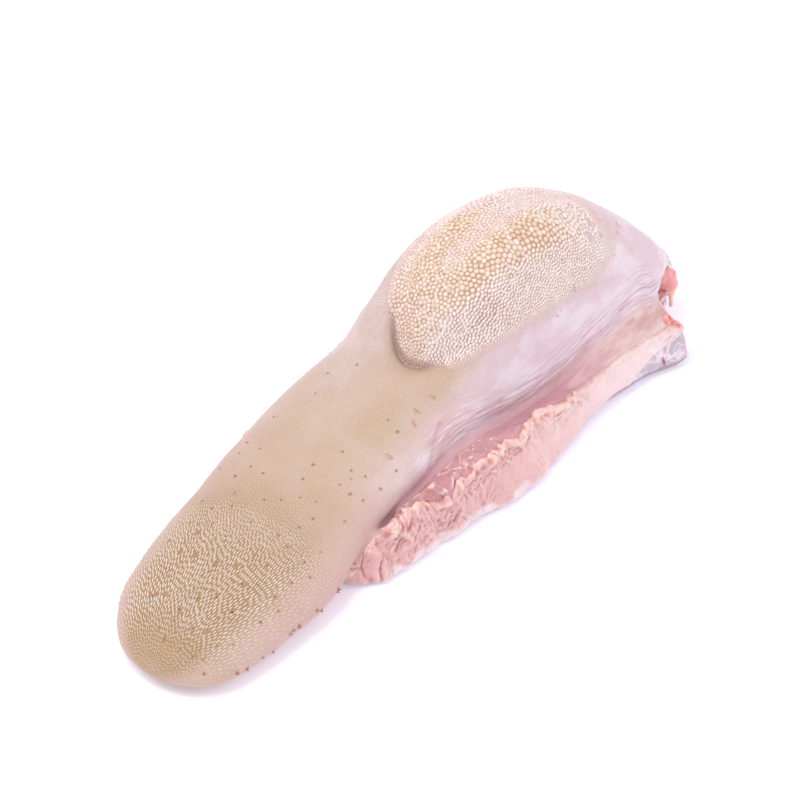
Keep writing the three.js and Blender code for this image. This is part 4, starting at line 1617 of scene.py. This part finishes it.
@dataclass(frozen=True)
class SkinFinish:
    """Colours and gloss of the skin, the lining and the cut meat."""

    tan: str = "d1b5a3"
    tan_dark: str = "c8aa8f"
    grain: str = "e8d8ca"
    olive: str = "ad885c"
    cobble: str = "d0a883"
    cobble_blush: str = "d6ada0"
    # The next colour is painted shade, for the groove before the hump and a patch on its near side.
    dusk: str = "9f8070"
    flank: str = "dbc8cb"
    blush: str = "d8b8bd"
    line: str = "cb9ba7"
    chalk: str = "e5d8dc"
    fibre: str = "f1e6ea"
    lining: str = "e6b3b0"
    # The next two colours are painted shade in the lining's creases and a painted highlight on its ridges.
    lining_deep: str = "d08c8b"
    lining_pale: str = "f5d9cd"
    gutter: str = "d3a3a8"
    rear: str = "e2bdb6"
    fascia: str = "c1b1bc"
    web: str = "f2ebee"
    fat: str = "f0e6e0"
    edge: str = "cdaaa2"
    swell: str = "e0d3d8"
    flap: str = "ec9c9b"
    flap_pale: str = "f6c0b2"
    flap_tip: str = "f4c3ae"
    hole: str = "8e4a57"
    # neck is the colour of the painted shade on the near side of the neck.
    neck: str = "d0adb1"
    raw: str = "d9726b"
    meat: str = "df8f90"
    meat_dark: str = "b9626b"

    def build(self, mottle: bpy.types.NodeTree) -> bpy.types.Material:
        """Makes the material.

        Args:
            mottle: the shared group for uneven tone.

        Returns:
            The material.
        """
        material, graph, shader = empty_material("tongue_skin")
        zone = {z: graph.attribute(z.value) for z in Zone if z is not Zone.FAT}
        colour = self._own_skin(graph, zone)
        colour = graph.mix(zone[Zone.LINING], colour, self._lining(graph, zone))
        colour = graph.mix(zone[Zone.GUTTER], colour, hex_colour(self.gutter))
        flesh = graph.mix(graph.ramp(graph.noise(0.35, 4, (0.5, 1, 1)), 0.35, 0.7),
                          hex_colour(self.meat_dark), hex_colour(self.meat))
        flesh = graph.mix(graph.ramp(graph.noise(0.22, 3), 0.54, 0.64), flesh, hex_colour(self.fat))
        flesh = graph.mix(zone[Zone.RIND], flesh, hex_colour(self.fat))
        colour = graph.mix(zone[Zone.MEAT], colour, flesh)
        level = graph.axis("Z")
        flap = graph.mix(graph.ramp(graph.math("MULTIPLY_ADD", graph.noise(0.3, 3), 14.0, level), 20.0, 32.0),
                         hex_colour(self.flap_tip), hex_colour(self.flap))
        flap = graph.mix(graph.ramp(graph.noise(0.28, 3, (1, 1, 0.4)), 0.5, 0.62), flap,
                         hex_colour(self.flap_pale))
        colour = graph.mix(zone[Zone.FLAP], colour, flap)
        colour = graph.mix(zone[Zone.RAW], colour, hex_colour(self.raw))
        colour = graph.mix(zone[Zone.HOLE], colour, hex_colour(self.hole))
        finish_colour(graph, shader, mottle, colour, 0.2)
        wet = graph.math("MAXIMUM", zone[Zone.LINING], zone[Zone.MEAT])
        wet = graph.math("MAXIMUM", wet, graph.math("MULTIPLY", zone[Zone.STRIAE], 0.8))
        dry = graph.math("MULTIPLY_ADD", graph.noise(0.5, 3), 0.2, 0.42)
        graph.feed(shader.inputs["Roughness"], graph.math("MULTIPLY_ADD", wet, -0.16, dry))
        graph.feed(shader.inputs["Coat Weight"], graph.math("MULTIPLY", wet, 0.55))
        shader.inputs["Coat Roughness"].default_value = 0.16
        self._relief(graph, shader, zone)
        finish_depth(shader, 0.18, (3.5, 1.6, 1.1))
        return material

    def _own_skin(self, graph: Graph, zone: dict[Zone, bpy.types.NodeSocket]) -> bpy.types.NodeSocket:
        """The tongue's own skin: pale flanks with lines, tan back, yellow ground of the hump, and painted
        shade round the hump's groove and on the near side of the neck.
        """
        colour = graph.mix(graph.noise(0.05, 3), hex_colour(self.flank), hex_colour(self.blush))
        chalk = graph.ramp(graph.noise(0.055, 5, (0.5, 1, 1), 0.62), 0.44, 0.6)
        colour = graph.mix(graph.math("MULTIPLY", chalk, 0.75), colour, hex_colour(self.chalk))
        colour = graph.mix(zone[Zone.EDGE], colour, hex_colour(self.edge))
        # Painted shade: the near side of the neck darkened towards a pinker tint.
        colour = graph.mix(zone[Zone.NECK], colour, hex_colour(self.neck))
        colour = graph.mix(zone[Zone.SWELL], colour, hex_colour(self.swell))
        lines = self._strands(graph, zone, 0.75)
        lined = graph.math("MULTIPLY", graph.ramp(lines, 0.47, 0.63), zone[Zone.STRIAE])
        colour = graph.mix(lined, colour, hex_colour(self.line))
        fibres = graph.math("MULTIPLY", graph.ramp(self._strands(graph, zone, 1.3), 0.52, 0.64),
                            zone[Zone.STRIAE])
        colour = graph.mix(graph.math("MULTIPLY", fibres, 0.65), colour, hex_colour(self.fibre))
        tan = graph.mix(graph.ramp(graph.noise(0.06, 3), 0.4, 0.64), hex_colour(self.tan),
                        hex_colour(self.tan_dark))
        tan = graph.mix(graph.math("MULTIPLY", graph.ramp(self._cells(graph), 0.5, 0.15), 0.3), tan,
                        hex_colour(self.grain))
        colour = graph.mix(zone[Zone.TAN], colour, tan)
        colour = graph.mix(zone[Zone.OLIVE], colour, hex_colour(self.olive))
        ground = graph.mix(graph.ramp(graph.noise(0.09, 2), 0.4, 0.65), hex_colour(self.cobble),
                           hex_colour(self.cobble_blush))
        colour = graph.mix(graph.math("MULTIPLY", zone[Zone.COBBLE], 0.9), colour, ground)
        # Painted shade in the groove before the hump and on the hump's near side.
        return graph.mix(graph.math("MULTIPLY", zone[Zone.DUSK], 0.8), colour, hex_colour(self.dusk))

    def _lining(self, graph: Graph, zone: dict[Zone, bpy.types.NodeSocket]) -> bpy.types.NodeSocket:
        """The slack lining: painted highlight on its ridges, painted shade in its creases, grey where it is
        torn.
        """
        # Painted shade in the creases and painted highlight on the ridges, both read from the relief.
        lining = graph.mix(graph.ramp(zone[Zone.RELIEF], 0.42, 0.16), hex_colour(self.lining),
                           hex_colour(self.lining_deep))
        lining = graph.mix(graph.ramp(zone[Zone.RELIEF], 0.55, 0.95), lining, hex_colour(self.lining_pale))
        rear = graph.ramp(graph.axis("X"), 60, 120)
        lining = graph.mix(rear, lining, hex_colour(self.rear))
        return graph.mix(zone[Zone.FASCIA], lining, webbed(graph, self.fascia, self.web))

    @staticmethod
    def _cells(graph: Graph) -> bpy.types.NodeSocket:
        """Distance from the middles of the dorsal skin's small grains."""
        cells = graph.node("ShaderNodeTexVoronoi", Vector=graph.coordinates((0.62, 1, 1)), Scale=1.25)
        return cells.outputs["Distance"]

    def _strands(self, graph: Graph, zone: dict[Zone, bpy.types.NodeSocket],
                 scale: float) -> bpy.types.NodeSocket:
        """Noise drawn out along the furrow."""
        along = graph.axis("X", (0.05, 1, 1))
        place = graph.node("ShaderNodeCombineXYZ", X=along, Y=zone[Zone.STRAND])
        drawn = graph.node("ShaderNodeTexNoise", Vector=place.outputs[0], Scale=scale, Detail=3.0)
        return drawn.outputs["Fac"]

    def _relief(self, graph: Graph, shader: bpy.types.Node,
                zone: dict[Zone, bpy.types.NodeSocket]) -> None:
        """Bump: fine grain on the dorsal skin, lengthwise lines on the flank, wrinkles."""
        grain = graph.math("MULTIPLY", graph.math("SUBTRACT", 0.6, self._cells(graph)),
                           graph.math("MULTIPLY", zone[Zone.TAN], 0.8))
        lines = graph.math("MULTIPLY", self._strands(graph, zone, 0.9),
                           graph.math("MULTIPLY", zone[Zone.STRIAE], 2.4))
        folds = graph.math("MULTIPLY", graph.noise(0.9, 4, (1, 0.45, 0.45)), zone[Zone.LINING])
        pores = graph.math("MULTIPLY", graph.noise(1.8, 3), 0.25)
        height = graph.math("ADD", grain, graph.math("ADD", lines, graph.math("ADD", folds, pores)))
        finish_bump(graph, shader, height, 0.55, 0.6)


@dataclass(frozen=True)
class LiningFinish:
    """The wet slack lining: painted highlight on its ridges, painted shade in its creases, grey where it is
    torn.
    """

    pad: str = "e2aeaa"
    pad_pale: str = "e7beb8"
    # deep is painted shade for the creases, and pale is a painted highlight for the ridges.
    deep: str = "cc827c"
    pale: str = "f3cebd"
    rear: str = "cc9893"
    rear_pale: str = "e2c2ba"
    rear_low: str = "f0d6d3"
    gutter: str = "c8929a"
    fascia: str = "c1b1bc"
    web: str = "f2ebee"
    fat: str = "f0dfe0"
    hole: str = "8e4a57"
    raw: str = "d4665f"
    raw_pale: str = "ecaa9f"

    def build(self, mottle: bpy.types.NodeTree) -> bpy.types.Material:
        """Makes the material.

        Args:
            mottle: the shared group for uneven tone.

        Returns:
            The material.
        """
        material, graph, shader = empty_material("wet_lining")
        relief, gutter, fascia, fat, hole, raw = (graph.attribute(z.value) for z in (
            Zone.RELIEF, Zone.GUTTER, Zone.FASCIA, Zone.FAT, Zone.HOLE, Zone.RAW))
        along = graph.axis("X")
        streak = graph.ramp(graph.noise(0.2, 4, (0.35, 1, 1), 0.55), 0.36, 0.66)
        rear = graph.mix(streak, hex_colour(self.rear), hex_colour(self.rear_pale))
        level = graph.axis("Z")
        rear = graph.mix(graph.ramp(level, 27, 19), rear, hex_colour(self.rear_low))
        pad = graph.mix(graph.ramp(along, -10, 60), hex_colour(self.pad), hex_colour(self.pad_pale))
        pad = graph.mix(graph.ramp(along, 60, 120), pad, rear)
        colour = graph.mix(gutter, pad, hex_colour(self.gutter))
        colour = graph.mix(fascia, colour, webbed(graph, self.fascia, self.web))
        # Painted shade in the creases (deep) and a painted highlight on the ridges (pale), both from the
        # relief.
        colour = graph.mix(graph.ramp(relief, 0.5, 0.2), colour, hex_colour(self.deep))
        colour = graph.mix(graph.math("MULTIPLY", graph.ramp(relief, 0.58, 0.95), 0.9), colour,
                           hex_colour(self.pale))
        colour = graph.mix(fat, colour, hex_colour(self.fat))
        red = graph.mix(graph.ramp(graph.noise(0.4, 3), 0.42, 0.62), hex_colour(self.raw),
                        hex_colour(self.raw_pale))
        colour = graph.mix(raw, colour, red)
        colour = graph.mix(hole, colour, hex_colour(self.hole))
        finish_colour(graph, shader, mottle, colour, 0.16)
        graph.feed(shader.inputs["Roughness"], graph.math("MULTIPLY_ADD", graph.noise(0.6, 3), 0.2, 0.26))
        shader.inputs["Coat Weight"].default_value = 1.0
        shader.inputs["Coat Roughness"].default_value = 0.07
        crumple = graph.math("MULTIPLY", graph.noise(0.75, 5, (1, 0.5, 0.5), 0.6), 0.8)
        fine = graph.math("MULTIPLY", graph.noise(2.0, 3), 0.35)
        finish_bump(graph, shader, graph.math("ADD", crumple, fine), 0.5, 0.8)
        finish_depth(shader, 0.12, (1.6, 0.7, 0.5))
        return material


@dataclass(frozen=True)
class PapillaFinish:
    """Colours of a kind of papilla, from foot to top."""

    name: str
    foot: str
    top: str
    blush: str
    pale: str
    gloss: float = 0.4
    coat: float = 0.1
    start: float = 0.05
    cover: float = 0.4

    def build(self, tint: bpy.types.NodeTree, mottle: bpy.types.NodeTree) -> bpy.types.Material:
        """Makes the material.

        Args:
            tint: the shared group for foot and top colours.
            mottle: the shared group for uneven tone.

        Returns:
            The material.
        """
        material, graph, shader = empty_material(self.name)
        tinted = graph.node("ShaderNodeGroup", node_tree=tint)
        tones = (("Foot", self.foot), ("Top", self.top), ("Blush", self.blush), ("Pale", self.pale))
        for socket, code in tones:
            tinted.inputs[socket].default_value = hex_colour(code)
        tinted.inputs["Start"].default_value = self.start
        tinted.inputs["Cover"].default_value = self.cover
        finish_colour(graph, shader, mottle, tinted.outputs["Color"], 0.22)
        graph.feed(shader.inputs["Roughness"],
                   graph.math("MULTIPLY_ADD", graph.noise(0.8, 2), 0.2, 0.9 - self.gloss))
        shader.inputs["Coat Weight"].default_value = self.coat
        shader.inputs["Coat Roughness"].default_value = 0.2
        finish_bump(graph, shader, graph.noise(3.0, 2), 0.3, 0.2)
        finish_depth(shader, 0.15, (2.0, 1.1, 0.8))
        return material


TIP_FINISH = PapillaFinish("tip_papilla", "ad885c", "e9dad1", "cba69b", "d8b9ae")
BLADE_FINISH = PapillaFinish("blade_papilla", "c6a991", "e2d0c5", "d3b1a8", "dabeb4")
HUMP_FINISH = PapillaFinish("hump_papilla", "cb9f78", "eddccd", "d4ada5", "f6ecec", start=0.34, cover=0.7)
BUTTON_FINISH = PapillaFinish("taste_button", "b98673", "955448", "1c161b", "1c161b", cover=1.0)
MARK_FINISH = PapillaFinish("skin_mark", "cfa284", "c6906d", "cc938b", "cc938b", cover=1.0)
RIM_FINISH = PapillaFinish("taste_button_rim", "b5876c", "d6b49f", "d9bcb0", "d9bcb0")
RING_FINISH = PapillaFinish("papilla_ring", "b5818a", "f8efee", "dba9ad", "f6e8e7", coat=0.3)


# ------------------------------------------------------------------ the studio


@dataclass(frozen=True)
class Studio:
    """Floor, soft lights and the camera at the photograph's angle."""

    azimuth: float = -49
    elevation: float = 39
    distance: float = 1.08
    lens: float = 100
    sensor: float = 36
    target: Triple = (0.0017, 0.0017, 0.0354)
    floor_size: float = 9.0
    world_strength: float = 0.75
    floor_glow: float = 0.22

    def build(self) -> None:
        """Makes the floor, the lights, the world and the camera."""
        activate_none()
        bpy.ops.mesh.primitive_plane_add(size=self.floor_size, location=(0, 0, 0))
        floor = bpy.context.object
        floor.name = "floor"
        material, _, shader = empty_material("floor_white")
        shader.inputs["Base Color"].default_value = hex_colour("f3f3fb")
        shader.inputs["Roughness"].default_value = 0.7
        shader.inputs["Emission Color"].default_value = hex_colour("f4f1ff")
        shader.inputs["Emission Strength"].default_value = self.floor_glow
        floor.data.materials.append(material)
        self._light("key", (-0.55, 0.35, 1.35), 1.0, 7.2, hex_colour("fffdfa"))
        self._light("spark", (-0.35, 0.15, 1.45), 0.32, 2.6, hex_colour("fffdfa"))
        self._light("fill", (0.9, -1.1, 1.1), 1.4, 8.0, hex_colour("fbfaff"))
        self._light("rim", (-0.35, 1.1, 0.75), 0.9, 2.2, hex_colour("eaf0ff"))
        world = bpy.data.worlds.new("studio_white")
        world.use_nodes = True
        background = world.node_tree.nodes["Background"]
        background.inputs["Color"].default_value = hex_colour("fbfaff")
        background.inputs["Strength"].default_value = self.world_strength
        bpy.context.scene.world = world
        bpy.context.scene.view_settings.view_transform = "Standard"
        self._camera()

    def _light(self, name: str, place: Triple, size: float, power: float,
               colour: tuple[float, float, float, float]) -> None:
        """One square soft light that faces the tongue."""
        lamp = bpy.data.lights.new(name, "AREA")
        lamp.size, lamp.energy, lamp.color = size, power, colour[:3]
        obj = bpy.data.objects.new(name, lamp)
        obj.location = place
        obj.rotation_euler = (Vector(self.target) - Vector(place)).to_track_quat("-Z", "Y").to_euler()
        bpy.context.collection.objects.link(obj)

    def _camera(self) -> None:
        """The camera on its sphere round the target."""
        a, e = math.radians(self.azimuth), math.radians(self.elevation)
        back = Vector((math.sin(a) * math.cos(e), -math.cos(a) * math.cos(e), math.sin(e)))
        data = bpy.data.cameras.new("photo_view")
        data.lens, data.sensor_width, data.sensor_fit = self.lens, self.sensor, "AUTO"
        data.clip_end = 30
        camera = bpy.data.objects.new("photo_view", data)
        camera.location = Vector(self.target) + back * self.distance
        camera.rotation_euler = (-back).to_track_quat("-Z", "Y").to_euler()
        bpy.context.collection.objects.link(camera)
        bpy.context.scene.camera = camera


# ------------------------------------------------------------------ main


def main() -> None:
    """Builds every piece in order."""
    logging.basicConfig(level=logging.INFO, format="%(name)s %(message)s")
    mottle, tint = mottle_group(), tip_tint_group()
    Studio().build()
    skin = Skin().build()
    report(skin, SkinFinish().build(mottle), replaces=True)
    surface = Surface(skin)
    lining_finish = LiningFinish().build(mottle)
    near = LiningSheet("lining_near", NEAR_LIP, side=-1, spacing=0.5, seed=1)
    far = LiningSheet("lining_far", FAR_LIP, side=1, spacing=0.8, seed=2, front=-60)
    for sheet in (near, far):
        report(sheet.build(surface), lining_finish)
    hump_finish = HUMP_FINISH.build(tint, mottle)
    rings = RingPapillae()
    for piece in HumpPapillae().build(surface, rings.spots()):
        report(piece, hump_finish)
    buttons = TasteButtons()
    for piece, finish in zip(buttons.build(surface), (BUTTON_FINISH, RIM_FINISH)):
        report(piece, finish.build(tint, mottle))
    for piece, finish in zip(BladePapillae().build(surface, buttons.places), (TIP_FINISH, BLADE_FINISH)):
        report(piece, finish.build(tint, mottle))
    report(SkinMarks().build(surface), MARK_FINISH.build(tint, mottle))
    ring_finish = RING_FINISH.build(tint, mottle)
    for piece in rings.build(surface):
        report(piece, ring_finish)
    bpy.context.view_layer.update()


if __name__ == "__main__":
    main()
